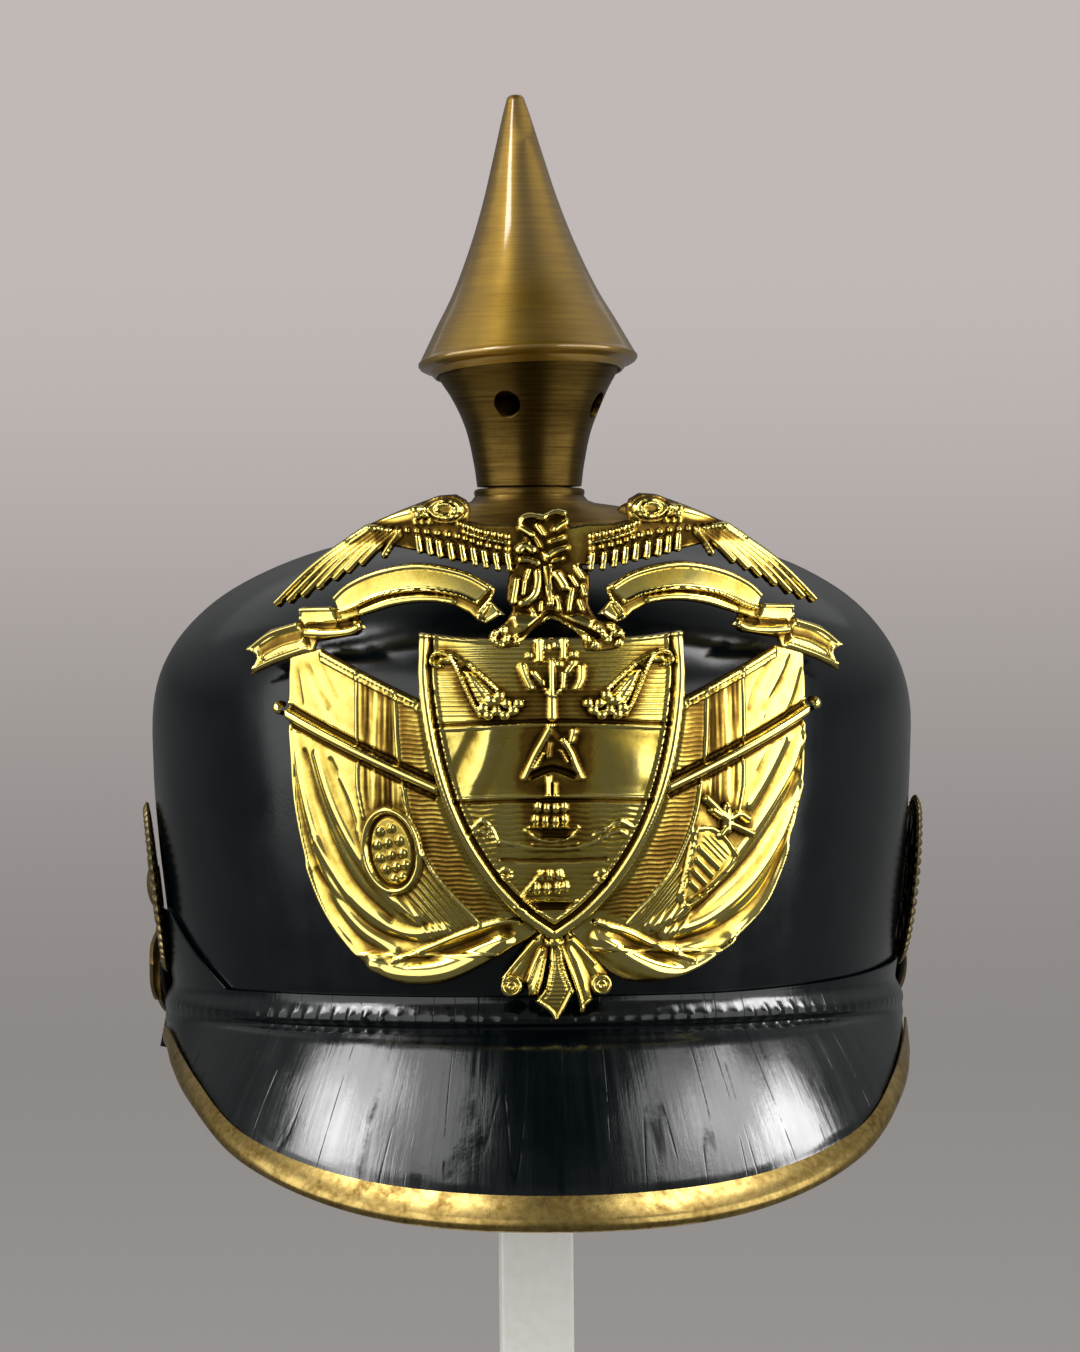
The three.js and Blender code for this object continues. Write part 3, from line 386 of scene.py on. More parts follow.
# Skull: a profile spun round, drawn long from front to back, then given its wall
def makeSkull():
    lows = [(float(halfWidthAt(h)), float(h)) for h in np.linspace(-skull["rimDrop"], skull["widest"], 26)]
    crownTurn = math.acos((skull["vent"] / skull["halfWidth"]) ** (skull["crownPower"] / 2))
    power = 2 / skull["crownPower"]
    rise = skull["crown"] - skull["widest"]
    crown = [(skull["halfWidth"] * math.cos(t) ** power, skull["widest"] + rise * math.sin(t) ** power)
             for t in np.linspace(0, crownTurn, 34)[1:]]
    piece = spinProfile("leatherSkull", lows + crown, steps=144)
    points = readPoints(piece)
    points[:, 1] *= skull["lengthRatio"]
    writePoints(piece, points)
    dents = bpy.data.textures.new("skullDents", "CLOUDS")
    dents.noise_scale = skull["dentSize"] * mm
    applyModifier(piece, "DISPLACE", texture=dents, texture_coords="LOCAL", mid_level=1.0,
                  strength=skull["dentDepth"] * mm)
    applyModifier(piece, "SOLIDIFY", thickness=skull["wall"] * mm, offset=-1.0)
    applyModifier(piece, "BEVEL", width=0.7 * mm, segments=3, limit_method="ANGLE",
                  angle_limit=math.radians(60))
    return finishPiece(piece, "skull", skullLeather)


makeSkull()
print("skull made")

# Peaks: a sewn flange pared thin at its top, a bend, then a slope. A tab is given by its turns and its rise.
peak = {
    "gap": 0.3, "flange": 6, "bendDrop": 2.5, "bendFrom": 0.1, "leather": 2.3, "crown": 1.2, "arcRadius": 98,
    "toothPitch": 4.4, "toothRise": 0.7, "rearToothRise": 0.4, "toothTurn": 30, "toothSpread": 14,
    "grooveAt": -7.2, "grooveHalf": 0.9, "grooveDepth": 0.8, "lipFromTrim": 0.8, "lipDepth": 0.3,
    "pared": (-5.2, -0.2), "leftTab": (58, 78, 17.5), "rightTab": (24, 82, 4.5), "tabLeather": 0.5,
    "sideFrom": 40, "sideTo": 72,
}
trim = {"width": 7.2, "sideWidth": 4.6, "metal": 0.5, "gap": 0.1, "endTurn": 83, "nose": 1.0, "swell": 0.25}
frontReach = {  # drop and reach below the bend, by turn from the middle
    "turn": [0, 20, 40, 55, 68, 80, 88], "drop": [41.5, 39, 28.6, 17.6, 11.4, 7, 6.4],
    "reach": [33.1, 28, 19.8, 11.2, 4.4, 0.6, 0.3],
}
rearReach = {
    "turn": [0, 20, 40, 55, 70, 87], "drop": [33, 31.5, 25, 16, 10.5, 8.5],
    "reach": [33, 30, 19, 10, 4.5, 1.6],
}


def peakSlope(table, turn, share, lift):  # a point of the sloping part: outwards from the seam, and up
    drop, reach = readTable(table, "drop", turn), readTable(table, "reach", turn)
    length = np.hypot(drop, reach)
    arch = peak["crown"] * smoothStep(drop, 12, 38) * 4 * share * (1 - share)
    out = peak["gap"] + reach * share + drop / length * (lift + arch)
    up = -peak["flange"] - peak["bendDrop"] - drop * share + reach / length * (lift + arch)
    return out, up


def trimWidthAt(turn):
    return mix(trim["width"], trim["sideWidth"], smoothStep(turn, 10, 50))


def makePeak(name, node, table, middle, cells, toothRise, hasTrim):
    farTurn = table["turn"][-1]
    slopeTo, bendTo = 0.5, 0.66  # shares of the grid's rows
    flangeOut = peak["gap"] + peak["leather"]

    def place(s, t):
        turn = mix(-farTurn, farTurn, s)
        side = np.abs(turn)
        arc = np.radians(turn) * peak["arcRadius"]
        slopeLength = np.hypot(readTable(table, "drop", side), readTable(table, "reach", side))
        share = mix(1.0, peak["bendFrom"], np.clip(t / slopeTo, 0, 1))
        fromEdge = (1 - share) * slopeLength
        lipAt = trimWidthAt(side) + peak["lipFromTrim"] + 0.2 * np.sin(arc / 7) + 0.1 * np.sin(arc / 2.3)
        lip = -peak["lipDepth"] * (1 - smoothStep(fromEdge - lipAt, -0.5, 0.4))
        out, up = peakSlope(table, side, share, peak["leather"] + (lip if hasTrim else 0))
        bendOut, bendUp = peakSlope(table, side, peak["bendFrom"], peak["leather"])
        bend = np.clip((t - slopeTo) / (bendTo - slopeTo), 0, 1)
        ahead = 1 - smoothStep(side, peak["sideFrom"], peak["sideTo"])
        valleyOut, valleyUp = flangeOut - 0.1 - 0.9 * ahead, -peak["flange"] - 1.7
        curveOut = (1 - bend) ** 2 * bendOut + 2 * bend * (1 - bend) * valleyOut + bend ** 2 * flangeOut
        curveUp = (1 - bend) ** 2 * bendUp + 2 * bend * (1 - bend) * valleyUp - bend ** 2 * peak["flange"]
        out, up = np.where(t > slopeTo, curveOut, out), np.where(t > slopeTo, curveUp, up)
        climb = np.clip((t - bendTo) / (1 - bendTo), 0, 1)
        tabs = zip(peak["leftTab"], peak["rightTab"])
        tabFrom, tabTo, tabRise = [np.where(turn < 0, left, right) for left, right in tabs]
        tab = np.clip((side - tabFrom) / (tabTo - tabFrom), 0, 1) ** np.where(turn < 0, 1, 1.6) * tabRise
        top = tab if hasTrim else 0 * tab
        up = np.where(t > bendTo, mix(-peak["flange"], top, climb), up)
        tooth = (0.5 + 0.5 * np.cos(2 * np.pi * arc / peak["toothPitch"])) ** 2.5
        tooth *= 0.75 + 0.25 * np.sin(arc / 4.3) + 0.2 * np.sin(arc / 9.7 + 1)  # uneven, as sewn by hand
        tooth *= 0.4 + 0.6 * np.exp(-((side - peak["toothTurn"]) / peak["toothSpread"]) ** 2)
        band = np.clip((-up - 2.2) / 3, 0, 1) * (1 - smoothStep(-up, 5.6, 6.8))  # the teeth's height range
        groove = np.exp(-((up - peak["grooveAt"]) / peak["grooveHalf"]) ** 2)
        groove = groove * (1 - 0.3 * tooth) * (0.2 + 0.8 * ahead)
        out = out + toothRise * tooth * band * (0.3 + 0.7 * ahead) - peak["grooveDepth"] * groove
        out = out - (peak["leather"] - peak["tabLeather"]) * smoothStep(up, *peak["pared"])
        x, y, _ = beside(middle + turn, 0 * turn, out)
        sx, sy, _ = beside(middle + turn, np.maximum(up, 0), out)
        return toFrame(np.where(up > 0, sx, x), np.where(up > 0, sy, y), up)

    piece = gridPiece(name, *cells, place)
    weights = piece.vertex_groups.new(name="wall")
    heights = readPoints(piece)[:, 2] / mm - skull["seam"]
    thin = 1 - (1 - peak["tabLeather"] / peak["leather"]) * smoothStep(heights, *peak["pared"])
    for i, share in enumerate(np.where(thin < 0.999, thin, 1.0)):
        weights.add([i], float(share), "REPLACE")
    applyModifier(piece, "SOLIDIFY", thickness=peak["leather"] * mm, offset=-1.0, vertex_group="wall")
    applyModifier(piece, "BEVEL", width=0.5 * mm, segments=2, limit_method="ANGLE",
                  angle_limit=math.radians(70))
    return finishPiece(piece, node, peakLeather)


makePeak("frontPeak", "front_peak", frontReach, middle=0, cells=(460, 56), toothRise=peak["toothRise"],
         hasTrim=True)
makePeak("rearPeak", "rear_peak", rearReach, middle=180, cells=(300, 44), toothRise=peak["rearToothRise"],
         hasTrim=False)
print("peaks made")


# Brass binding folded round the edge of the front peak
def makeTrim():
    outside = peak["leather"] / 2 + trim["gap"] + trim["metal"]
    nose = trim["nose"]
    foldFrom, foldTo = 0.42, 0.58  # shares of the grid's rows

    def place(s, t):
        turn = mix(-trim["endTurn"], trim["endTurn"], s)
        side = np.abs(turn)
        endOut, endUp = peakSlope(frontReach, side, 1.0, peak["leather"] / 2)
        midOut, midUp = peakSlope(frontReach, side, 0.5, peak["leather"] / 2)
        aheadOut, aheadUp = endOut - midOut, endUp - midUp
        length = np.hypot(aheadOut, aheadUp)
        width = np.minimum(trimWidthAt(side), 1.45 * length)
        aheadOut, aheadUp = aheadOut / length, aheadUp / length
        around = np.clip((t - foldFrom) / 0.16, 0, 1) * np.pi
        back = np.where(t < foldFrom, mix(-width, -nose, t / foldFrom), np.where(
            t > foldTo, mix(-nose, -width, (t - foldTo) / foldFrom), -nose + 2 * nose * np.sin(around)))
        rise = -outside * np.cos(around)
        swell = trim["swell"] * np.sin(np.pi * np.clip(-back / width, 0, 1)) * np.sign(rise)
        out = endOut + aheadOut * back - aheadUp * (rise + swell)
        up = endUp + aheadUp * back + aheadOut * (rise + swell)
        x, y, _ = beside(turn, 0 * turn, out)
        return toFrame(x, y, up)

    piece = gridPiece("frontPeakBinding", columns=260, rows=40, place=place)
    applyModifier(piece, "SOLIDIFY", thickness=trim["metal"] * mm, offset=-1.0)
    return finishPiece(piece, "front_peak_trim", edgeBrass)


makeTrim()
print("binding made")

# Spike: cone with a rolled foot, vented neck and domed base. Radius and height rows.
spike = {
    "cone": [(26.2, 149.4), (24, 153.6), (21.8, 157.8), (17.4, 166), (12.9, 176.8), (9.2, 187.7),
             (6.2, 198.5), (3.5, 208.6), (2.3, 212.6)],
    "tip": [(2.05, 213.5), (1.5, 214), (0.7, 214.2), (0, 214.2)],
    "foot": [(0, 142.5), (17.5, 142.5), (17.5, 146.5), (22.3, 146.4), (22.5, 145.5), (22.9, 145.4),
             (23.6, 146.2), (24, 146.9), (25.6, 147.3), (26.3, 147.7), (26.7, 148.3), (26.7, 148.8),
             (26.5, 149.1)],
    "neck": [(12.7, 118.9), (13.5, 124.7), (15.3, 132.8), (18.7, 140.8), (21.2, 145.2), (21.9, 146.8)],
    "neckWall": 1.2, "lean": 2, "leanBack": 5, "leanFrom": 136, "seat": 146.5, "raise": 0.9,
    "ventTilt": 23, "ventRadius": 3.3, "ventHeight": 138.4, "ventTurn": -20, "ventWall": 17.2,
    "base": [(11.4, 0.3), (42, 0.3), (42.2, 0.7), (42, 1.3), (40.5, 1.9), (33, 3.5), (22, 4.6), (16, 5.1),
             (14.2, 5.7), (13.3, 6.8), (13.5, 7.6), (13.3, 8.3), (12.6, 8.6), (11.4, 8.5), (11.4, 0.3)],
    "studRadius": 3.4, "studCircle": 33, "studRise": 3.2,
}


def makeSpike():
    cone = [tuple(row) for row in smoothLine(spike["cone"], 8)]
    piece = spinProfile("spikeCone", spike["foot"] + cone + spike["tip"], steps=96)
    points = readPoints(piece)
    seat = (spike["seat"] + skull["seam"]) * mm
    for axis, lean in ((0, math.radians(spike["lean"])), (1, -math.radians(spike["leanBack"]))):
        across, z = points[:, axis].copy(), points[:, 2] - seat
        points[:, axis] = across * math.cos(lean) - z * math.sin(lean)
        points[:, 2] = across * math.sin(lean) + z * math.cos(lean) + seat
    points[:, 2] += spike["raise"] * mm
    writePoints(piece, points)
    return finishPiece(piece, "spike", spunBrass, smoothAngle=35)


def makeNeck():
    outer = [tuple(row) for row in smoothLine(spike["neck"], 6)]
    inner = [(r - spike["neckWall"], z) for r, z in reversed(outer)]
    piece = spinProfile("spikeNeck", outer + inner + outer[:1], steps=96)
    points = readPoints(piece)
    rise = points[:, 2] / mm - skull["seam"]
    slant = points[:, 0] * math.sin(math.radians(spike["lean"]))
    slant -= points[:, 1] * math.sin(math.radians(spike["leanBack"]))
    points[:, 2] += slant * smoothStep(rise, spike["leanFrom"], spike["leanFrom"] + 10)
    writePoints(piece, points)
    for depth, flare in ((24, 0), (4, 2)):  # a straight hole, then its countersink
        drills = []
        for turn in np.radians(spike["ventTurn"] + 90 * np.arange(4)):
            deselectAll()
            bpy.ops.mesh.primitive_cone_add(
                vertices=32, radius1=(spike["ventRadius"] + flare) * mm,
                radius2=(spike["ventRadius"] - flare) * mm, depth=depth * mm,
                rotation=(math.radians(spike["ventTilt"] - 90), 0, turn),
                location=(spike["ventWall"] * mm * math.sin(turn), -spike["ventWall"] * mm * math.cos(turn),
                          (spike["ventHeight"] + skull["seam"]) * mm))
            drills.append(bpy.context.object)
        drill = joinPieces("drill", drills)
        applyModifier(piece, "BOOLEAN", operation="DIFFERENCE", object=drill, solver="EXACT")
        bpy.data.objects.remove(drill)
    return finishPiece(piece, "spike_neck", darkBrass, smoothAngle=35)


def makeSpikeBase():
    piece = spinProfile("spikeBase", spike["base"], steps=96)
    points = readPoints(piece)
    points[:, 2] += crownAt(np.hypot(points[:, 0], points[:, 1] / skull["lengthRatio"]) / mm) * mm
    writePoints(piece, points)
    studs = [piece]
    for turn in np.radians([45, 135, 225, 315]):
        x, y = spike["studCircle"] * math.sin(turn), -spike["studCircle"] * math.cos(turn)
        lift = float(crownAt(math.hypot(x, y / skull["lengthRatio"]))) + spike["studRise"] + skull["seam"]
        deselectAll()
        bpy.ops.mesh.primitive_uv_sphere_add(segments=24, ring_count=12, radius=spike["studRadius"] * mm,
                                             location=(x * mm, y * mm, lift * mm), scale=(1, 1, 0.8))
        bpy.ops.object.transform_apply(location=True, rotation=True, scale=True)
        studs.append(bpy.context.object)
    return finishPiece(joinPieces("spikeBase", studs), "spike_base", darkBrass, smoothAngle=35)


makeSpike()
makeNeck()
makeSpikeBase()
print("spike made")

# Front plate: thin stamped sheets, each a flat grid over its patch of the plate, cut to its outline, raised
# by lines, areas and dots, and bent onto the skull. u runs along the skull to the right, v up from the seam.
plate = {
    "metal": 0.9, "clearance": 1, "flangeClearance": 3.4, "leanFrom": 55, "leanRadius": 120,
    "shadeReach": 1.5, "edgeWidth": 0.5, "edgeDrop": 0.7,
}


def bendOntoSkull(u, v, h):
    a, b = skull["halfWidth"], skull["halfWidth"] * skull["lengthRatio"]
    turn = u / a - (b * b - a * a) / (6 * a ** 4) * u ** 3 / a
    clear = mix(plate["flangeClearance"], plate["clearance"], smoothStep(v, 1, 13))
    x, y, _ = beside(np.degrees(turn), np.minimum(v, skull["widest"]), clear + h)
    over = np.maximum(v - plate["leanFrom"], 0)
    return toFrame(x, y + plate["leanRadius"] - np.sqrt(plate["leanRadius"] ** 2 - over ** 2), v)


def mirrored(points, side):
    return [(side * u, v) for u, v in points]


def ringLine(centre, radii, tilt=0, steps=36):  # an ellipse, its top leaning to the left by tilt degrees
    around, lean = np.linspace(0, 2 * np.pi, steps + 1), math.radians(tilt)
    x, y = radii[0] * np.cos(around), radii[1] * np.sin(around)
    return np.stack([centre[0] + x * math.cos(lean) - y * math.sin(lean),
                     centre[1] + x * math.sin(lean) + y * math.cos(lean)], -1)


def toLine(u, v, line):  # distance to a line of points, share of the way along it, and side of it
    line = np.asarray(line, float)
    lengths = np.hypot(*(line[1:] - line[:-1]).T)
    best, along, side, walked = np.full(u.shape, 1e9), np.zeros(u.shape), np.zeros(u.shape), 0
    for start, end, length in zip(line, line[1:], lengths):
        ahead = (end - start) / length
        du, dv = u - start[0], v - start[1]
        reach = np.clip(du * ahead[0] + dv * ahead[1], 0, length)
        off = np.hypot(du - reach * ahead[0], dv - reach * ahead[1])
        closer = off < best
        best[closer] = off[closer]
        along[closer] = (walked + reach[closer]) / lengths.sum()
        side[closer] = np.sign(ahead[0] * dv - ahead[1] * du)[closer]
        walked += length
    return best, along, side


def inArea(u, v, outline):  # distance to an outline, above zero inside it
    ring = np.vstack([outline, outline[:1]])
    ring = ring[np.append(True, np.hypot(*(ring[1:] - ring[:-1]).T) > 1e-6)]
    odd = np.zeros(u.shape, bool)
    for (u0, v0), (u1, v1) in zip(ring, ring[1:]):
        if v0 != v1:
            odd ^= ((v0 > v) != (v1 > v)) & (u < (u1 - u0) * (v - v0) / (v1 - v0) + u0)
    off = toLine(u, v, ring)[0]
    return np.where(odd, off, -off)


def openSheet(low, high, cell):
    columns, rows = (int((high[i] - low[i]) / cell[i]) for i in (0, 1))
    u, v = np.meshgrid(np.linspace(low[0], high[0], columns + 1), np.linspace(low[1], high[1], rows + 1))
    return {"u": u, "v": v, "h": np.zeros_like(u), "inside": np.full_like(u, -9.0), "tarnishAndShade": np.zeros_like(u)}


def patchOf(sheet, points, reach):
    low, high = np.min(points, 0) - reach, np.max(points, 0) + reach
    columns = np.searchsorted(sheet["u"][0], (low[0], high[0]))
    rows = np.searchsorted(sheet["v"][:, 0], (low[1], high[1]))
    return np.s_[rows[0]:rows[1], columns[0]:columns[1]]


def addArea(sheet, outline):  # widens the sheet by an area
    sheet["inside"] = np.maximum(sheet["inside"], inArea(sheet["u"], sheet["v"], outline))


def addStrip(sheet, line, half):  # widens the sheet along a line, by half on each side
    patch = patchOf(sheet, line, 3 * half)
    off = toLine(sheet["u"][patch], sheet["v"][patch], smoothLine(line, 6))[0]
    sheet["inside"][patch] = np.maximum(sheet["inside"][patch], half - off)


def stampLine(sheet, line, half, rise, taper=(1, 1), level=None, power=0.75):
    # a rounded ridge, or a groove where rise is below zero; with a level it covers what lies under it
    line = smoothLine(line, 6) if 2 < len(line) < 30 else np.array(line, float)
    patch = patchOf(sheet, line, half)
    off, along, _ = toLine(sheet["u"][patch], sheet["v"][patch], line)
    swell = mix(taper[0], taper[1], along)
    bump = rise * np.minimum(swell, 1) * np.clip(1 - (off / (half * swell + 1e-6)) ** 2, 0, 1) ** power
    h = sheet["h"][patch]
    sheet["h"][patch] = h + bump if level is None else np.where(bump > 0, np.maximum(h, level + bump), h)


def stampArea(sheet, outline, rise, edge):
    patch = patchOf(sheet, outline, 0)
    sheet["h"][patch] += rise * smoothStep(inArea(sheet["u"][patch], sheet["v"][patch], outline), 0, edge)


def stampLines(sheet, rows, level=None, power=0.75):
    for line, half, rise in rows:
        stampLine(sheet, line, half, rise, level=level, power=power)


# Darkens the sheet's colour over an area. Some calls lay tarnish; others lay painted shade and painted dark
# reflections, as noted at each call.
def addTarnishAndShade(sheet, outline, amount, edge, streaks=None):  # streaks run upwards, as far apart as this in mm
    patch = patchOf(sheet, outline, 0)
    inner = inArea(sheet["u"][patch], sheet["v"][patch], outline)
    share = 1.0
    if streaks:
        turn = 2 * math.pi * sheet["u"][patch] / streaks + 0.05 * sheet["v"][patch]
        share = 0.5 + 0.3 * np.sin(turn) + 0.25 * np.sin(2.3 * turn + 1) + 0.2 * np.sin(5.1 * turn + 2)
    sheet["tarnishAndShade"][patch] += amount * share * smoothStep(inner, 0, edge)


def stampHatch(sheet, outline, turn, pitch, depth, wave=0):
    patch = patchOf(sheet, outline, 0)
    u, v = sheet["u"][patch], sheet["v"][patch]
    across = v * math.cos(math.radians(turn)) - u * math.sin(math.radians(turn)) + wave * np.sin(1.1 * u)
    ease = smoothStep(inArea(u, v, outline), 0, 0.8)
    sheet["h"][patch] += depth * np.cos(2 * np.pi * across / pitch) * ease


def stampDots(sheet, places, radius, rise, squash=1.0, level=None):
    for place in places:
        patch = patchOf(sheet, [place], radius * max(squash, 1))
        off = np.hypot(sheet["u"][patch] - place[0], (sheet["v"][patch] - place[1]) / squash) / radius
        bump = rise * np.sqrt(np.clip(1 - off ** 2, 0, 1))
        h = sheet["h"][patch]
        sheet["h"][patch] = h + bump if level is None else np.where(bump > 0, np.maximum(h, level + bump), h)


def softened(values, weight, cells):  # an even blur, within the sheet alone
    def blur(grid):
        for axis in (0, 1):
            width = cells[axis]
            for _ in range(2):
                ends = [(0, 0), (0, 0)]
                ends[axis] = (width + 1, width)
                total = np.cumsum(np.pad(grid, ends, mode="edge"), axis)
                size = grid.shape[axis]
                span = 2 * width + 1
                grid = (np.take(total, range(span, span + size), axis)
                        - np.take(total, range(0, size), axis)) / span
        return grid
    return blur(values * weight) / np.maximum(blur(weight), 1e-3)


def flipSheet(sheet):
    for key in ("u", "v", "h", "inside", "tarnishAndShade"):
        sheet[key] = sheet[key][:, ::-1]
    sheet["u"] = -sheet["u"]


def finishSheet(name, sheet):
    u, v, h, inside = (sheet[key] for key in ("u", "v", "h", "inside"))
    cellU, cellV = u[0, 1] - u[0, 0], v[1, 0] - v[0, 0]
    h = h - plate["edgeDrop"] * (1 - smoothStep(inside, 0, plate["edgeWidth"]))
    keep = inside > -0.6 * min(cellU, cellV)
    padded = np.pad(keep, 1)
    rows, columns = u.shape
    within = np.ones_like(keep)
    for i in range(3):
        for j in range(3):
            within &= padded[i:i + rows, j:j + columns]
    slopeV, slopeU = np.gradient(inside, cellV, cellU)
    pull = np.where(keep & (~within | (inside < 0)), inside, 0) / np.maximum(slopeU ** 2 + slopeV ** 2, 0.3)
    weight = keep.astype(float)
    cells = [max(1, int(plate["shadeReach"] / cell)) for cell in (cellV, cellU)]
    # the darkening: polish gathered in the hollows, plus the added tarnish, painted shade and painted dark
    # reflection
    recess = softened(h, weight, cells) - h + sheet["tarnishAndShade"]
    deselectAll()
    bpy.ops.mesh.primitive_grid_add(x_subdivisions=columns - 1, y_subdivisions=rows - 1, size=2)
    piece = bpy.context.object
    piece.name = name
    writePoints(piece, bendOntoSkull(u - pull * slopeU, v - pull * slopeV, h).reshape(-1, 3))
    shade = piece.data.attributes.new("recess", "FLOAT", "POINT")
    shade.data.foreach_set("value", recess.ravel().astype(np.float32))
    bpy.ops.object.mode_set(mode="EDIT")
    bpy.ops.mesh.select_mode(type="VERT")
    bpy.ops.mesh.select_all(action="DESELECT")
    bpy.ops.object.mode_set(mode="OBJECT")
    piece.data.vertices.foreach_set("select", ~keep.ravel())
    bpy.ops.object.mode_set(mode="EDIT")
    bpy.ops.mesh.delete(type="VERT")
    bpy.ops.mesh.select_all(action="SELECT")
    bpy.ops.mesh.delete_loose()
    bpy.ops.object.mode_set(mode="OBJECT")
    applyModifier(piece, "SOLIDIFY", thickness=plate["metal"] * mm, offset=-1.0)
    return finishPiece(piece, "front_plate", plateBrass, smoothAngle=60)


# Shield: a broad rim, then fruit horns and a plant over hatching, a plain bar with a cap, and two ships
shieldForm = {
    "span": ((-30.4, 11.6), (30.4, 84)), "cell": (0.36, 0.24), "field": 2.9,
    "side": [(29.3, 83), (29.6, 70.5), (27, 53.4), (22.3, 38.7), (15.3, 26.5), (8, 18.3), (0, 12.3)],
    "top": [(0, 81.4), (17, 81.6), (29.3, 83)],
    "rim": [(0, 0.4), (0.5, 1.0), (1.4, 1.25), (2.1, 1), (2.5, 0.2), (2.8, -0.5), (3.3, -0.5), (3.6, 0.3),
            (4, 0.35), (4.5, 0)],
    "topRim": [(0, 0.2), (0.5, 0.45), (0.9, 0.4), (1.3, 0)], "edge": [(0, -1.4), (0.45, 0)],
    "chief": [(-25.4, 62.8), (-25.4, 80.6), (25.4, 80.6), (25.4, 62.8)],
    "sea": [(-21, 43.8), (21, 43.8), (15, 31), (8, 22.5), (0, 15.5), (-8, 22.5), (-15, 31)],
    "horn": [(26.2, 75.6), (24.6, 78.4), (21.6, 77.4), (19.4, 71.6), (17.4, 67.2), (15.6, 63.8), (8, 66.2),
             (10.8, 68.2), (13.2, 70.6), (16.8, 74.6)],
    "hornEdges": [
        ([(24.4, 75.2), (26.2, 76), (25.4, 78), (22.8, 78), (20.6, 74.6), (19, 70.8), (17.2, 66.8),
          (15.6, 63.9)], 0.55, 1.3),
        ([(22, 78), (18.8, 76), (16.4, 73.8), (13.2, 70.8), (10.8, 68.4)], 0.4, 0.7)],
    "flutes": {"from": [(20, 74.4), (18.2, 75)], "to": [(16.4, 66.6), (11.8, 69)], "count": 5},
    "fruit": [
        (15, 65.6), (13.3, 67.4), (11.4, 68.4), (9.9, 66.6), (12, 65), (8.6, 65), (10.4, 64), (13.8, 64),
        (7.4, 66.6)],
    "plant": [
        ([(-0.3, 76), (-0.3, 68.5)], 0.75, 1.2), ([(-1.5, 69.8), (-0.3, 67.6), (1.5, 69.6)], 0.5, 0.9),
        ([(-0.3, 67.8), (-0.3, 63.4)], 1.1, 0.9), ([(-2.9, 82), (-2.8, 76.4)], 0.95, 1.1),
        ([(2.5, 81.6), (2.3, 77)], 0.85, 1.1), ([(-6.5, 74.8), (-5.8, 72.6), (-4.8, 70.2)], 0.95, 1.1),
        ([(-4.2, 73.4), (-2.1, 70.9)], 0.65, 0.8), ([(6.2, 74.6), (6.1, 72.2), (5.2, 70)], 0.95, 1.1),
        ([(2.3, 73.2), (2.1, 70.2)], 0.65, 0.9), ([(4.6, 75.6), (3.2, 73.6)], 0.7, 0.7)],
    "seeds": [(-2.3, 71.4), (1.4, 75.4), (-1.2, 79.2), (0.9, 79.6), (-0.2, 81.8), (-4.8, 77.4), (4.6, 77.6)],
    "cap": [(-0.4, 61.6), (-2.4, 57.8), (-4.6, 53.4), (-6.6, 49.2), (-3.4, 51.2), (-0.4, 52), (2.6, 51.2),
            (6, 48.8), (4.8, 53.6), (2.6, 57.6)],
    "capLines": [
        ([(-0.6, 61.4), (-2.2, 58.4), (-4.2, 54.6), (-6.3, 49.8)], 0.85, 1.2),
        ([(-2.2, 55.4), (-4, 52)], 0.5, 0.8), ([(2, 58.4), (3.8, 55.2), (5.8, 49.8)], 0.8, 1.2),
        ([(1.4, 56), (2.8, 53.4)], 0.5, 0.7), ([(4.4, 60.2), (3.8, 58)], 0.9, 1),
        ([(-0.8, 57.6), (-1.2, 54.6)], 0.6, 0.6), ([(-1.1, 50), (-1.1, 46)], 0.6, 0.9),
        ([(0.3, 48.6), (0.3, 45.8)], 0.5, 0.7)],
    "capHollow": [(-4.6, 50.4), (-0.4, 52), (4.4, 50.4)],
    "dents": [([(-13, 60), (-15, 53), (-18.4, 46)], 3.4, 0.3),
              ([(-16.6, 60), (-19, 55), (-21.4, 50)], 2.4, -0.2)],
    "ships": [
        {"sails": [(-3.4, 43.3), (-1.6, 43), (0.4, 43), (2.2, 43.2), (-4, 40.4), (-1.9, 40.2), (0.4, 40.1),
                   (2.3, 40.4)],
         "sail": (0.8, 1.35), "hull": [(-5.2, 38.7), (5, 38.7), (3, 36), (-2.8, 36)],
         "rigging": [([(-6.2, 38.2), (-3.2, 35.8), (2.6, 35.8), (5.4, 38.4)], 0.35, 0.5)]},
        {"sails": [(-3.8, 24.8), (-1.6, 24.8), (0.8, 25), (2.4, 25.2), (-2.9, 27.8), (-1, 27.8), (1.2, 27.8)],
         "sail": (0.72, 1.45), "hull": [(-6.4, 22.2), (4.8, 22), (2.6, 19.6), (-3.4, 19.6)],
         "rigging": [([(-7, 23.2), (-3, 28.2)], 0.4, 0.6), ([(-7, 22.8), (-4, 19.8)], 0.35, 0.4)]}],
    "lines": [
        ([(-17.6, 38.4), (-15.6, 40.3), (-13.6, 38.2), (-12.4, 35)], 0.6, 0.6),
        ([(-18.4, 37), (-16, 38), (-14.2, 36.4)], 0.5, 0.45),
        ([(8.8, 36.8), (11.8, 38.2), (14.4, 39.8), (17, 38.6)], 0.5, 0.6),
        ([(10.4, 36), (14, 37.6), (16.4, 36.6)], 0.5, 0.4),
        ([(-11.6, 31.4), (0, 31.2), (11.6, 31.4)], 0.5, -0.5),
        ([(-12, 35.6), (-6, 34.2), (0, 33.7), (6, 34.2), (10, 35.8)], 0.5, 0.35),
        ([(-4.6, 34.9), (0, 34.5), (5, 34.9)], 0.35, 0.3), ([(-8.6, 20.6), (-6, 19.9)], 0.4, 0.4)],
    "rounds": [(-10.7, 28.1), (10.4, 27.4)],
    "middle": [(-10, 62), (-9, 30), (9, 30), (12, 62), (11, 76), (-9, 76)],
}


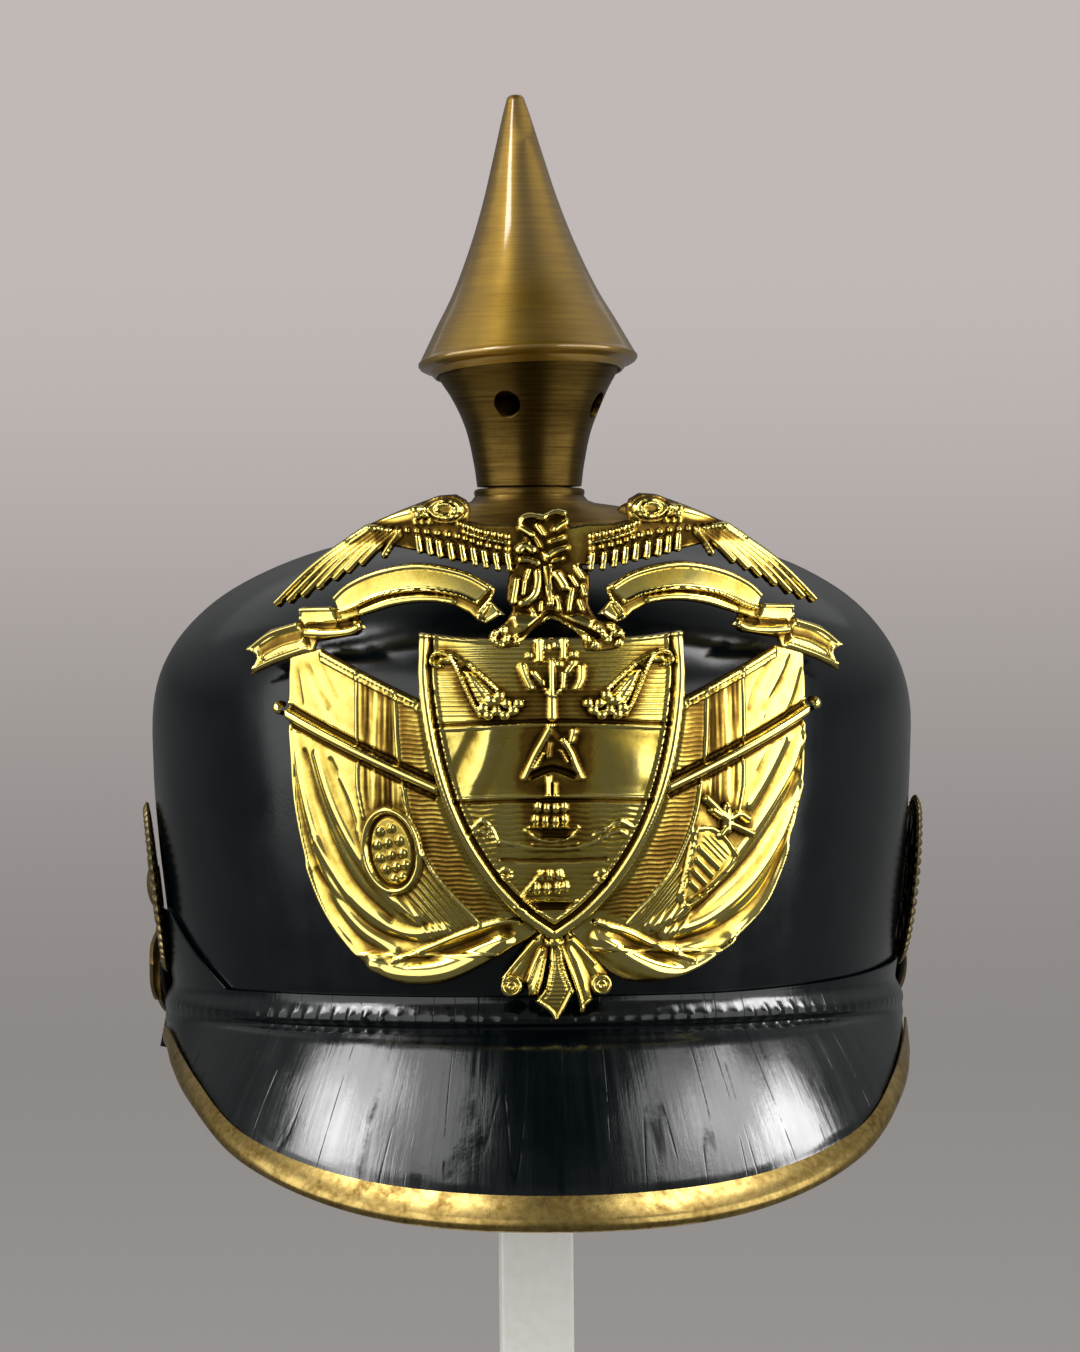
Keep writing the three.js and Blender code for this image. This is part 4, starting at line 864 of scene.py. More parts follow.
def makeShield():
    form = shieldForm
    half = smoothLine(form["side"], 8)
    sides = np.vstack([half * (-1, 1), half[::-1][1:]])
    top = smoothLine(mirrored(form["top"][:0:-1], -1) + form["top"], 6)
    sheet = openSheet(*form["span"], form["cell"])
    u, v = sheet["u"], sheet["v"]
    fromSide, fromTop = toLine(u, v, sides)[0], toLine(u, v, top)[0]
    sheet["inside"] = inArea(u, v, np.vstack([sides, top[::-1][1:-1]]))
    sheet["h"] += (form["field"] + np.interp(fromSide, *zip(*form["rim"]))
                   + np.interp(fromTop, *zip(*form["topRim"]))
                   + np.interp(np.minimum(fromSide, fromTop), *zip(*form["edge"])))
    field = form["field"]
    stampHatch(sheet, form["chief"], turn=0, pitch=1.07, depth=0.07)
    stampHatch(sheet, form["sea"], turn=0, pitch=1.25, depth=0.07, wave=0.15)
    for rise, drop in ((0.4, 0), (-0.5, 0.9)):  # a bright line over a dark one under each field
        stampLine(sheet, [(-25.6, 60.9 + drop), (0, 61.8 + drop), (25.6, 60.9 + drop)], half=0.5, rise=rise)
        stampLine(sheet, [(-21.4, 45.2 - drop), (0, 45.7 - drop), (21.4, 45.2 - drop)], half=0.5, rise=rise)
    bar = smoothStep(v, 46, 48) * (1 - smoothStep(v, 58.5, 60.5)) * smoothStep(fromSide, 4.4, 6)
    sheet["h"] += bar * (0.05 * np.sin(0.42 * u + 0.5) * np.cos(0.3 * (v - 53)) - 0.003 * (v - 53) ** 2)
    stampLines(sheet, form["dents"], power=2)
    # painted dark reflection, with some tarnish: the colour is darkened down the middle of the shield and
    # over the cap
    addTarnishAndShade(sheet, form["middle"], amount=0.3, edge=5)
    addTarnishAndShade(sheet, form["cap"], amount=0.35, edge=1.5)
    for side in (1, -1):
        stampArea(sheet, mirrored(form["horn"], side), rise=1.3, edge=1.8)
        flutes = form["flutes"]
        for share in np.linspace(0, 1, flutes["count"]):
            ends = [mix(np.array(flutes[key][0]), np.array(flutes[key][1]), share) for key in ("from", "to")]
            stampLine(sheet, mirrored(ends, side), half=0.45, rise=-0.4)
        for line, half, rise in form["hornEdges"]:
            stampLine(sheet, mirrored(line, side), half, rise, level=field + 0.3)
        stampDots(sheet, mirrored(form["fruit"], side), radius=1.15, rise=1.1, level=field + 0.75)
    stampArea(sheet, form["cap"], rise=0.7, edge=1.2)
    stampLine(sheet, form["capHollow"], half=0.9, rise=-0.7)
    stampLines(sheet, form["capLines"])
    stampLines(sheet, form["plant"], level=field)
    stampDots(sheet, form["seeds"], radius=0.8, rise=0.8, level=field)
    stampLines(sheet, form["lines"])
    for ship in form["ships"]:
        stampArea(sheet, ship["hull"], rise=-0.5, edge=0.9)
        # painted dark reflection: the sunk hull's colour is darkened
        addTarnishAndShade(sheet, ship["hull"], amount=0.5, edge=0.6)
        stampLine(sheet, [ship["hull"][0], ship["hull"][1]], half=0.4, rise=0.7)
        stampDots(sheet, ship["sails"], radius=ship["sail"][0], rise=0.9,
                  squash=ship["sail"][1] / ship["sail"][0], level=field)
        stampLines(sheet, ship["rigging"])
    for place in form["rounds"]:
        stampLine(sheet, ringLine(place, (1.1, 1.1)), half=0.5, rise=0.6)
    return finishSheet("plateShield", sheet)


makeShield()
print("shield made")

# Flags: draped behind the shield from a slanting pole, with hatched stripes, satin folds and a rolled hem
flagForm = {
    "span": ((2, 2), (70, 81)), "cell": (0.32, 0.32), "sheet": 1.5, "tuck": 1.2,
    "outline": {
        -1: [(65, 67), (64.4, 56.4), (63.7, 43.6), (61.2, 31), (57.2, 20.6), (51.2, 12.2), (43.8, 6.6),
             (36.4, 3.6), (28.4, 3.1), (21, 5), (10, 11), (3, 15)],
        1: [(64.8, 66.8), (64, 58.4), (63.5, 47.8), (60.3, 35.2), (55.2, 23.8), (50, 17.2), (43.7, 12),
            (35.7, 7.2), (27.6, 4), (19.2, 3.4), (12.4, 5.8), (3, 15)]},
    "upper": [(24, 65), (55, 79.6), (64.4, 78.3)], "upperHem": [(29, 67.2), (54.6, 79.2)], "stitches": 26,
    "pole": [(67.6, 66), (47.4, 57), (26, 47.4)], "poleHalf": 1.2, "poleAside": (0.72, -1.65),
    "stripe": [(35.6, 69.4), (34.9, 54.4), (33.8, 47.4), (32.8, 41.4), (30, 33.4), (26, 26.4), (17, 16.6)],
    "outerStripe": [(45, 74.4), (45.2, 60), (45, 54.3), (45.2, 48), (44, 41)],
    "hatched": [(35.2, 69.6), (34.5, 54.4), (33.4, 47.4), (32.4, 41.4), (29.6, 33.4), (25.6, 26.4),
                (17, 17.2), (9, 19.5), (16, 26.5), (23, 38.6), (27.6, 53.4), (29.5, 67)],
    "ribbed": [(36, 69.4), (35.4, 54.4), (34.4, 47.4), (33.6, 43.4), (43.4, 42), (44.4, 48), (44.4, 60),
               (44.4, 73)],
    "fan": {"from": [(28.4, 29.4), (36.4, 22.6)], "to": [(18.4, 17), (27.8, 13.4)], "lines": 8},
    "upperFolds": {
        -1: [([(58.8, 76), (56, 71), (52.6, 66)], 1.2, -0.55), ([(54.4, 75.6), (50.4, 68.4)], 1, -0.4),
             ([(62, 75), (60.6, 67)], 1.2, -0.4), ([(57.4, 72.4), (52, 62.4)], 2.2, 0.4)],
        1: [([(60, 76.8), (56, 71), (51, 65)], 1.4, -0.6),
            ([(63.6, 73.6), (60.4, 66.4), (57, 61.8)], 1.3, -0.6),
            ([(53.8, 76.4), (49, 70.2), (46.8, 64.6)], 1.1, -0.45),
            ([(57.6, 75), (53.6, 69), (50, 63)], 1.6, 0.4)]},
    "folds": {
        -1: [([(62.6, 60.2), (61, 49.4), (58, 36.8), (53.2, 25), (46.6, 16), (37.6, 10.6)], 2.4, 1),
             ([(56.2, 55.6), (53, 45.8), (49.2, 37.8), (44.6, 30.6), (38.8, 23.4), (31.4, 18)], 2.3, 1.2),
             ([(50.2, 50.4), (46.8, 43.6), (45.2, 37), (43, 29)], 1.5, 0.7),
             ([(57, 36), (50.4, 25.4), (43.2, 18.8), (34.4, 14.6), (24.8, 15.4)], 2, 0.9),
             ([(59.8, 56), (56.4, 45), (52, 34), (46.4, 25.2), (38.2, 18)], 1.3, -0.8),
             ([(52.4, 54), (48.4, 45.8), (46.4, 39.4)], 1.2, -0.6),
             ([(58, 29), (49.4, 20.4), (41.4, 14.8), (32.6, 12.8)], 1.2, -0.6),
             ([(61.8, 52), (58.6, 41), (54.6, 31.4), (49, 22.6)], 0.9, 0.35),
             ([(42, 25.4), (36, 19.6), (29, 16.6)], 0.9, -0.4)],
        1: [([(62.8, 58.6), (59.4, 51.4), (53.8, 44), (47.2, 36), (39.8, 28), (31, 19.8), (22.4, 15.6)], 2.2,
             1.1),
            ([(62.2, 47.4), (56.8, 35.8), (48, 25), (36.8, 17.2), (25.8, 14)], 2.3, 1.1),
            ([(61, 35.6), (55, 23.4), (46, 15.6), (34.4, 11), (24.4, 11.4)], 1.8, 0.8),
            ([(61.6, 50), (59.2, 45.6), (51.8, 35.8), (43.2, 27), (33, 19.2)], 1.3, -0.8),
            ([(60.8, 37), (51.4, 22.8), (40.6, 15.6), (29.4, 12.2)], 1.2, -0.7),
            ([(57, 57.8), (51.8, 49.8), (46.8, 43)], 1.6, 0.8),
            ([(59.4, 57), (53.6, 48), (48.4, 41)], 0.9, -0.5), ([(53.6, 57.4), (49.2, 50.2)], 0.9, -0.4)]},
    "hem": {
        -1: {"roll": [(37.4, 8.4), (29.6, 11.2), (21.2, 14.4), (13, 17), (8, 17.4)],
             "hollow": [(34, 7.6), (27, 9.8), (18.4, 13), (10.6, 15)],
             "lobe": [(42, 7.6), (35, 5.8), (26.6, 6), (18.4, 8.8), (12, 12.6)],
             "sweep": [(60, 29), (55, 19.4), (49, 12.6), (42, 7.6)]},
        1: {"roll": [(32.6, 8.2), (24.4, 11.2), (16.8, 14.6), (9.4, 17)],
            "hollow": [(30, 6.8), (23, 9.2), (16, 12.6), (11, 14.6)],
            "lobe": [(43, 10.6), (35, 6.8), (26, 5.8), (17.6, 8.8), (11.4, 13.2)],
            "sweep": [(60, 32), (56, 24), (50.6, 17), (43, 10.6)]}},
    "badge": {"centre": (-37.2, 33.4), "radii": (6.7, 9.3), "tilt": 7.7, "dots": [
        (-0.34, 0.58), (0.16, 0.62), (-0.56, 0.22), (-0.1, 0.24), (0.42, 0.26), (-0.52, -0.14), (-0.04, -0.1),
        (0.46, -0.1), (-0.36, -0.46), (0.1, -0.44), (0.5, -0.42), (-0.08, -0.76), (0.3, -0.74)]},
    "escutcheon": [(33, 38), (38.4, 37.2), (43.4, 31.2), (39, 26), (34.4, 22.6), (30, 21.4)],
    "escutcheonHatch": [(34.4, 36.4), (38.2, 36), (42, 31.2), (38.8, 29.8), (34.2, 33.8)],
    "bars": [[(33.9, 33.4), (38.9, 29)], [(33.3, 30.8), (37.3, 27.2)], [(32.7, 28.2), (35.7, 25.4)],
             [(32, 25.6), (33.6, 24.2)]],
    "smallBird": [([(35.2, 44.6), (38.4, 41.8), (40.4, 39.8)], 1), ([(36.6, 42), (39, 40.4)], 0.7),
                  ([(46.4, 39.8), (43.8, 41), (41.4, 40)], 1),
                  ([(47.6, 36.4), (44.2, 37.8), (41.6, 38.8)], 0.9), ([(40.5, 42), (40.8, 37.4)], 1.2),
                  ([(40, 37.6), (38.8, 36.2)], 0.7)],
}


def makeFlag(name, side):
    form = flagForm
    edge = smoothLine(form["outline"][side], 5)
    knob = ringLine(form["pole"][0], (1.7, 1.7))
    cover = smoothLine(shieldForm["side"], 6)
    sheet = openSheet(*form["span"], form["cell"])
    u, v = sheet["u"], sheet["v"]
    shieldSide = inArea(u, v, np.vstack([cover, [(-6, 12.3), (-6, 83)]]))
    addArea(sheet, np.vstack([form["upper"], edge, [(12, 32)]]))
    addArea(sheet, knob)
    sheet["inside"] = np.minimum(sheet["inside"], form["tuck"] - shieldSide)
    base = form["sheet"]
    sheet["h"] += base - 0.5 * smoothStep(shieldSide, -1.5, 0)
    fan = form["fan"]
    for line, half, rise in form["upperFolds"][side] + form["folds"][side]:
        stampLine(sheet, line, half, rise, taper=(0.6, 0.8), power=1.5)
    hem = form["hem"][side]
    stampLine(sheet, hem["sweep"], half=3, rise=0.7, power=2)
    stampLine(sheet, hem["hollow"], half=1.8, rise=-0.9, taper=(0.4, 1), power=1.5)
    stampLine(sheet, hem["lobe"], half=3.4, rise=1.8, power=1.2)
    sheet["h"] = softened(sheet["h"], np.ones_like(u), cells=(1, 1))
    stampLine(sheet, hem["roll"], half=0.75, rise=0.8)
    stampHatch(sheet, form["hatched"], turn=2, pitch=1.05, depth=0.09, wave=0.1)
    stampHatch(sheet, form["ribbed"], turn=88, pitch=1.5, depth=0.09, wave=0.35)
    addTarnishAndShade(sheet, form["hatched"], amount=0.28, edge=1)
    addTarnishAndShade(sheet, form["ribbed"], amount=0.6, edge=1, streaks=6.5)
    for share in np.linspace(0, 1, fan["lines"]):
        ends = [tuple(mix(np.array(fan[key][0]), np.array(fan[key][1]), share)) for key in ("from", "to")]
        stampLine(sheet, ends, half=0.4, rise=0.22)
    stampLine(sheet, form["stripe"], half=0.5, rise=0.55)
    stampLine(sheet, form["outerStripe"], half=0.45, rise=0.45)
    upper = form["upperHem"]
    stampLine(sheet, [(p, q - 0.9) for p, q in upper], half=0.5, rise=0.5)
    stampLine(sheet, [(p, q - 2.3) for p, q in upper], half=0.4, rise=0.35)
    for p, q in np.linspace(upper[0], upper[1], form["stitches"]):  # along the upper hem
        stampDots(sheet, [(p, q - 1.6)], radius=0.45, rise=0.3)
    rim = edge[edge[:, 1] > 9]
    stampLine(sheet, rim - (0.9, 0), half=0.7, rise=0.6, taper=(1, 0.6))
    if side < 0:
        badge = form["badge"]
        centre = (-badge["centre"][0], badge["centre"][1])
        rx, ry = badge["radii"]
        tilt = -badge["tilt"]
        oval = ringLine(centre, (rx + 1, ry + 1), tilt)
        inner = inArea(u, v, oval[:-1])
        sheet["h"] = mix(sheet["h"], base + 0.3, smoothStep(inner, 0, 0.8))
        stampLine(sheet, ringLine(centre, (rx, ry), tilt), half=0.85, rise=1.1)
        stampLine(sheet, ringLine(centre, (rx - 1.25, ry - 1.25), tilt), half=0.5, rise=-0.4)
        lean = math.radians(tilt)
        for x, y in badge["dots"]:
            x, y = -x * (rx - 1), y * (ry - 1)
            dot = (centre[0] + x * math.cos(lean) - y * math.sin(lean),
                   centre[1] + x * math.sin(lean) + y * math.cos(lean))
            stampDots(sheet, [dot], radius=0.95, rise=0.85)
    else:
        outline = smoothLine(form["escutcheon"] + form["escutcheon"][:1], 1)
        inner = inArea(u, v, outline[:-1])
        sheet["h"] = mix(sheet["h"], base + 0.35, smoothStep(inner, -0.3, 0.6))
        stampHatch(sheet, form["escutcheonHatch"], turn=-42, pitch=1.05, depth=0.16)
        stampLine(sheet, outline, half=0.55, rise=0.75)
        stampLine(sheet, [(32.2, 37.4), (29.2, 21.8)], half=0.45, rise=0.6)
        for bar in form["bars"]:
            stampLine(sheet, bar, half=0.62, rise=0.7)
        for line, half in form["smallBird"]:
            stampLine(sheet, line, half=half, rise=1.2, level=base + 0.4)
        stampDots(sheet, [(40.4, 42.8)], radius=1, rise=1.3, level=base + 0.4)
    poleLine, (asideU, asideV) = form["pole"], form["poleAside"]
    for way in (1, -1):
        stampLine(sheet, [(p + way * asideU, q + way * asideV) for p, q in poleLine], half=0.75, rise=-0.6)
    stampLine(sheet, poleLine, half=form["poleHalf"], rise=1.5, level=base + 0.1, power=0.5)
    stampDots(sheet, poleLine[:1], radius=1.6, rise=1.7, level=base - 0.2)
    if side < 0:
        flipSheet(sheet)
    return finishSheet(name, sheet)


makeFlag("plateFlagLeft", -1)
makeFlag("plateFlagRight", 1)
print("flags made")

# Scrolls: an arched ribbon over each flag, with a folded inner end, a box fold, a rolled edge
# and a forked tail
scrollForm = {
    "span": ((8, 72), (81, 100)), "cell": (0.3, 0.28), "level": 1.9,
    "upper": [(12, 92.9), (19, 96.9), (29, 98.8), (38.8, 97.4), (46.3, 94.5), (50.8, 91)],
    "border": [(49, 87.2), (45.2, 88.2), (38, 91), (29, 92), (21, 90.9), (16.2, 88.8)],
    "lower": [(46.8, 86), (41.6, 87.2), (35, 88.9), (28.6, 89.6), (22.6, 89.1), (18.2, 87.2)],
    "innerEnd": [(16.6, 85.6), (14, 84.3), (10, 86.6), (12.8, 89.6)],
    "innerFold": [(12.6, 91.6), (16, 88)], "fold": [(50.4, 89.2), (59.8, 89.2), (60.5, 86)],
    "boxFold": [(50.4, 89.6), (60.2, 89.6), (60.8, 86), (57.4, 83.4), (50, 84), (48.6, 87)],
    "tail": [(70, 84.2), (79.4, 79.6), (74.4, 77.5), (77.8, 73.4), (68, 76.2), (56.5, 78.8)],
    "roll": [(55.4, 81), (49.6, 81.8), (44.6, 82.4), (41.8, 84.2), (43.6, 86)],
    "lines": [  # points, half width, rise
        ([(12.6, 91.4), (15.6, 87.4)], 0.5, 0.6), ([(11.2, 87), (14.2, 85.2), (16.2, 86.2)], 0.5, 0.5),
        ([(13.4, 88.6), (14.6, 86.6)], 0.4, -0.3), ([(51.2, 90.4), (49.4, 86.6)], 0.8, -0.7),
        ([(50.6, 88.4), (59.4, 88.4)], 0.55, 0.6), ([(59.6, 88.2), (60, 86.2)], 0.5, 0.5),
        ([(57.6, 84.6), (51, 84.9), (46.4, 85.4)], 0.8, -0.7),
        ([(58.8, 83.2), (52.4, 82.9), (46.6, 83.2), (43.4, 84.4)], 1.2, 1.4),
        ([(60.2, 85.6), (58, 80.2)], 0.8, -0.6), ([(61.4, 85), (70, 83), (77.4, 79.5)], 0.55, 0.55),
        ([(58.2, 79.7), (68, 77.3), (75.6, 75)], 0.55, 0.55),
        ([(77.4, 79.5), (74, 78.4), (75.6, 75)], 0.45, 0.4), ([(61, 82.6), (67, 81.4), (73, 79)], 1.5, -0.45),
        ([(60.6, 80.6), (66, 79.6), (71.6, 78)], 1.2, 0.35)],
    "knob": (42.9, 84.6),
}


def makeScroll(name, side):
    form = scrollForm
    upper, border, lower = (smoothLine(form[key], 6) for key in ("upper", "border", "lower"))
    sheet = openSheet(*form["span"], form["cell"])
    addArea(sheet, np.vstack([upper, form["fold"], form["tail"], form["roll"], lower, form["innerEnd"]]))
    sheet["h"] += form["level"]
    stampArea(sheet, np.vstack([upper + (0, 0.6), border]), rise=0.9, edge=0.5)
    stampArea(sheet, np.array(form["innerEnd"] + form["innerFold"]), rise=0.5, edge=0.5)
    stampArea(sheet, np.array(form["boxFold"]), rise=0.45, edge=0.6)
    stampLine(sheet, upper - (0, 0.85), half=0.6, rise=0.6)
    stampLine(sheet, border + (0, 0.55), half=0.5, rise=0.5)
    stampLine(sheet, mix(border[6:-6], lower[6:-6], 0.55), half=1.1, rise=0.55)
    stampLines(sheet, form["lines"])
    stampDots(sheet, [form["knob"]], radius=1.5, rise=1.8, level=form["level"])
    if side < 0:
        flipSheet(sheet)
    return finishSheet(name, sheet)


makeScroll("plateScrollLeft", -1)
makeScroll("plateScrollRight", 1)
print("scrolls made")

# Bird over the shield: a head turned aside over leafy feathers, feathered legs on clusters of leaves,
# and wings with a curled shoulder, a smooth arm, long feathers outside and a row of short ones inside
birdForm = {
    "span": ((-69, 76), (69, 116)), "cell": (0.32, 0.29), "level": 2.1, "lowLevel": 3.5,
    "body": [
        (-6.8, 108.6), (-4.6, 110), (-1.2, 109.6), (1.6, 110.8), (4, 110.2), (4.4, 108), (4.2, 104.4),
        (5, 100.4), (7.2, 97.2), (8.6, 95.6), (8.6, 91.4), (8.4, 88.8), (10.2, 85.4), (13.4, 84.8),
        (15.8, 82.2), (14.8, 79), (7.4, 78.2), (6, 81.8), (0, 85.8), (-5, 82.4), (-7.4, 79.6), (-11.4, 79.2),
        (-13.8, 82), (-10.6, 84.4), (-8.6, 87.8), (-9.8, 90), (-9.4, 94), (-8.8, 96.4), (-7.4, 98.8),
        (-7.2, 104.4)],
    "feathers": [  # points, half width and rise: head, crest, breast, then legs
        ([(-6.4, 107.9), (-5.6, 109), (-3.6, 109.3), (-1.2, 108.8)], 0.85, 1.5),
        ([(-6.2, 106.6), (-5, 105.8), (-3.8, 105)], 0.9, 1.3),
        ([(-6.6, 101.4), (-5.4, 102.4), (-3.8, 101.4)], 1.15, 1.4),
        ([(-6.4, 99.2), (-4.8, 99.2), (-2.8, 98.4)], 0.9, 1.3), ([(-3.4, 104.6), (-2.2, 102.2)], 0.7, 0.9),
        ([(-5, 104), (-4.4, 103.4)], 0.6, 0.8), ([(-2.6, 107), (-1.4, 105)], 0.7, 0.9),
        ([(-0.2, 109.6), (1.8, 110.2), (3.4, 109.8)], 0.75, 1.2),
        ([(1.2, 106), (2.4, 107), (3.8, 107.8)], 0.8, 1.3),
        ([(0.2, 103.2), (1.4, 103.6), (3, 104.2)], 0.7, 1.1),
        ([(-0.4, 100), (1.4, 101.2), (3.6, 101.8)], 0.8, 1.2), ([(-1.4, 100.6), (-1, 99)], 0.6, 0.8),
        ([(0.6, 98.8), (2.6, 99.4)], 0.6, 0.8),
        ([(-2.8, 96.2), (-2.8, 94), (-3.4, 91.4), (-5, 89.8), (-6.4, 89.2)], 1.05, 1.5),
        ([(-1.2, 97.4), (-1, 93.8), (-0.6, 89)], 0.5, 1), ([(0, 97.8), (-0.1, 93.8), (0.3, 89)], 0.5, 0.9),
        ([(1.4, 95.8), (2.4, 94.2), (3, 93)], 1.2, 1.5), ([(4.6, 92.2), (4.2, 90.2), (3.8, 87.8)], 0.75, 1.2),
        ([(1.2, 90.6), (1.6, 89.2), (1.8, 87.9)], 0.65, 1.1),
        ([(-7.4, 94.4), (-7.6, 92.8), (-8.2, 89.6)], 0.8, 1.1), ([(-5.6, 94), (-6, 91.4)], 0.65, 1),
        ([(-4.6, 96.8), (-5.2, 95)], 0.6, 0.8), ([(7.4, 91.2), (6.9, 93)], 0.7, 1),
        ([(6, 89.6), (6.7, 87.8)], 0.75, 1.1), ([(4.4, 95.2), (5.6, 93.2)], 0.65, 1),
        ([(5.6, 97.4), (7, 95)], 0.6, 0.9), ([(-4.5, 88), (-3.8, 86.9)], 0.6, 0.8),
        ([(-2.2, 89.4), (-2.4, 87.7)], 0.6, 0.8)],
    "fans": [[(-8.9, 86.2), (-7.4, 87.6), (-2.2, 86.8), (-0.3, 87.2), (-5, 83.3), (-8, 83.8)],
             [(0.1, 87.2), (3, 86.6), (5.8, 87.4), (9.5, 85.5), (8.2, 83), (3.4, 85)]],
    "fold": [(-8.4, 81), (-5, 83.2), (-2.6, 85.4), (-0.2, 87.1), (3.4, 85.2), (8, 82.8), (10, 81.4)],
    "leaves": [(-12.2, 82.6), (-10.6, 83.2), (-12.8, 81), (-9.8, 81.2), (-11.2, 80), (-7.8, 81), (9.8, 83.4),
               (12.8, 84), (15, 82.2), (12, 81), (14.4, 80), (7.4, 81), (9.2, 79.6), (10.8, 82.2),
               (13.4, 82.4)],
    "web": [(1, 97.4), (8.4, 97.8), (14.2, 98.4), (19.6, 99), (24.8, 100), (29.6, 101.4), (37, 103),
            (47, 103), (46.6, 104.4), (40, 108.2), (33.6, 110.8), (28.2, 112.8), (24.2, 114.2), (20.4, 114.4),
            (18, 113), (17.2, 110.8), (17.6, 108.2), (14, 107.4), (8, 107.4), (1, 106)],
    "arm": [(45, 104.6), (39.2, 107.8), (33.6, 109.4), (28, 110.8)],
    "shoulder": {"centre": (22.6, 110.9), "radii": (5, 3.2), "turns": (-75, 250)},
    "scaled": [(30.4, 111), (27, 112.4), (26, 107), (30, 106.6)],
    "coverts": [(39.2, 106.8), (33.6, 106.4), (26.8, 105.8), (19.8, 104.6), (14.8, 102.8), (8.4, 101.4)],
    "shortFeathers": [(28.8, 102.8), (26.4, 102.2), (24.2, 101.6), (21.6, 101), (18.9, 100.5), (16.5, 99.8),
                      (14.1, 99.1), (11.6, 98.5), (9, 98.4)],
    "longTips": [(66.8, 90), (62.8, 90.7), (58.6, 91.9), (54.2, 93.7), (49.8, 95.6), (46.4, 97.3),
                 (42.8, 98.9), (37.4, 100.7)],
    "longRoots": [(40.4, 107), (33.8, 105.4)],
}


def makeBird():
    form = birdForm
    base = form["level"]
    sheet = openSheet(*form["span"], form["cell"])
    body = smoothLine(form["body"] + form["body"][:1], 3)[:-1]
    sheet["h"] += mix(form["lowLevel"], base, smoothStep(sheet["v"], 83, 88))
    addArea(sheet, body)
    for side in (1, -1):
        makeWing(sheet, side)
    for fan in form["fans"]:
        stampArea(sheet, fan, rise=0.6, edge=0.8)
    stampLine(sheet, form["fold"], half=0.6, rise=-0.8)
    # painted dark reflection: the body's colour is darkened down the middle of the plate
    addTarnishAndShade(sheet, body, amount=0.22, edge=1)
    stampLines(sheet, form["feathers"], power=0.6)
    stampDots(sheet, form["leaves"], radius=1, rise=1.1, squash=1.2)
    for i, (p, q) in enumerate(form["leaves"]):  # veins
        stampLine(sheet, [(p - 0.5, q - 0.9), (p + 0.5 * (-1) ** i, q + 0.9)], half=0.3, rise=-0.35)
    return finishSheet("plateBird", sheet)


def makeWing(sheet, side):
    form = birdForm
    base = form["level"]
    web = np.array(mirrored(form["web"], side))
    addArea(sheet, web)
    tips, roots = form["longTips"], np.array(form["longRoots"], float)
    for i, tip in reversed(list(enumerate(tips))):
        share = i / (len(tips) - 1)
        root = mix(roots[0], roots[1], share)
        feather = mirrored([root, mix(root, np.array(tip), 0.5) + mix(0.6, 0.1, share), tip], side)
        addStrip(sheet, feather, half=0.95)
        stampLine(sheet, feather, half=1.05, rise=0.9, taper=(1, 0.75), level=base + 0.1 * (len(tips) - i),
                  power=0.6)
        stampLine(sheet, feather, half=0.25, rise=0.25, power=1)
    stampLine(sheet, mirrored(form["arm"], side), half=2.3, rise=1, taper=(0.6, 1), power=1.2)
    for p, q in form["shortFeathers"]:
        feather = mirrored([(p + 0.3, q + 1.9), (p, q), (p - 0.2, q - 1.3)], side)
        addStrip(sheet, feather, half=0.8)
        stampLine(sheet, feather, half=0.9, rise=1.4, taper=(0.8, 1), level=base + 0.3, power=0.5)
    coverts = smoothLine(form["coverts"], 8)
    for rise, radius, count, far in ((0, 0.75, 16, 1), (1.5, 0.65, 12, 0.36), (2.9, 0.6, 9, 0.4)):
        for place in np.linspace(len(coverts) - 2, (len(coverts) - 1) * (1 - far), count):
            dot = [np.interp(place, range(len(coverts)), coverts[:, k]) for k in (0, 1)]
            stampDots(sheet, [(side * dot[0], dot[1] + rise)], radius=radius, rise=0.8)
    # painted shade: the web and the band under the coverts are darkened, dark in the gaps between the short
    # feathers
    addTarnishAndShade(sheet, web, amount=0.22, edge=1)
    below = [(side * p, q - 4) for p, q in coverts]
    addTarnishAndShade(sheet, below + [(side * p, q) for p, q in coverts[::-1]], amount=0.3, edge=0.5)
    shoulder = form["shoulder"]
    centre = np.array(shoulder["centre"])
    stampArea(sheet, np.array(mirrored(ringLine(centre, shoulder["radii"])[:-1], side)), rise=1.2, edge=2)
    for share in (0.4, 0.68, 0.95):  # curled stripes, open to the outside
        turns = np.radians(np.linspace(*shoulder["turns"], 30)) + math.pi / 2 * share
        curl = centre + share * np.array(shoulder["radii"]) * np.stack([-np.cos(turns), np.sin(turns)], -1)
        stampLine(sheet, mirrored(curl, side), half=0.42, rise=0.55)
    scaled = np.array(mirrored(form["scaled"], side))
    for j in range(4):
        spots = [(side * (24 + 1.6 * (i + 0.5 * (j % 2))), 106.6 + 1.5 * j) for i in range(6)]
        depths = inArea(np.array([p for p, _ in spots]), np.array([q for _, q in spots]), scaled)
        stampDots(sheet, [spot for spot, depth in zip(spots, depths) if depth > 0], radius=0.85, rise=0.7)


makeBird()
print("bird made")

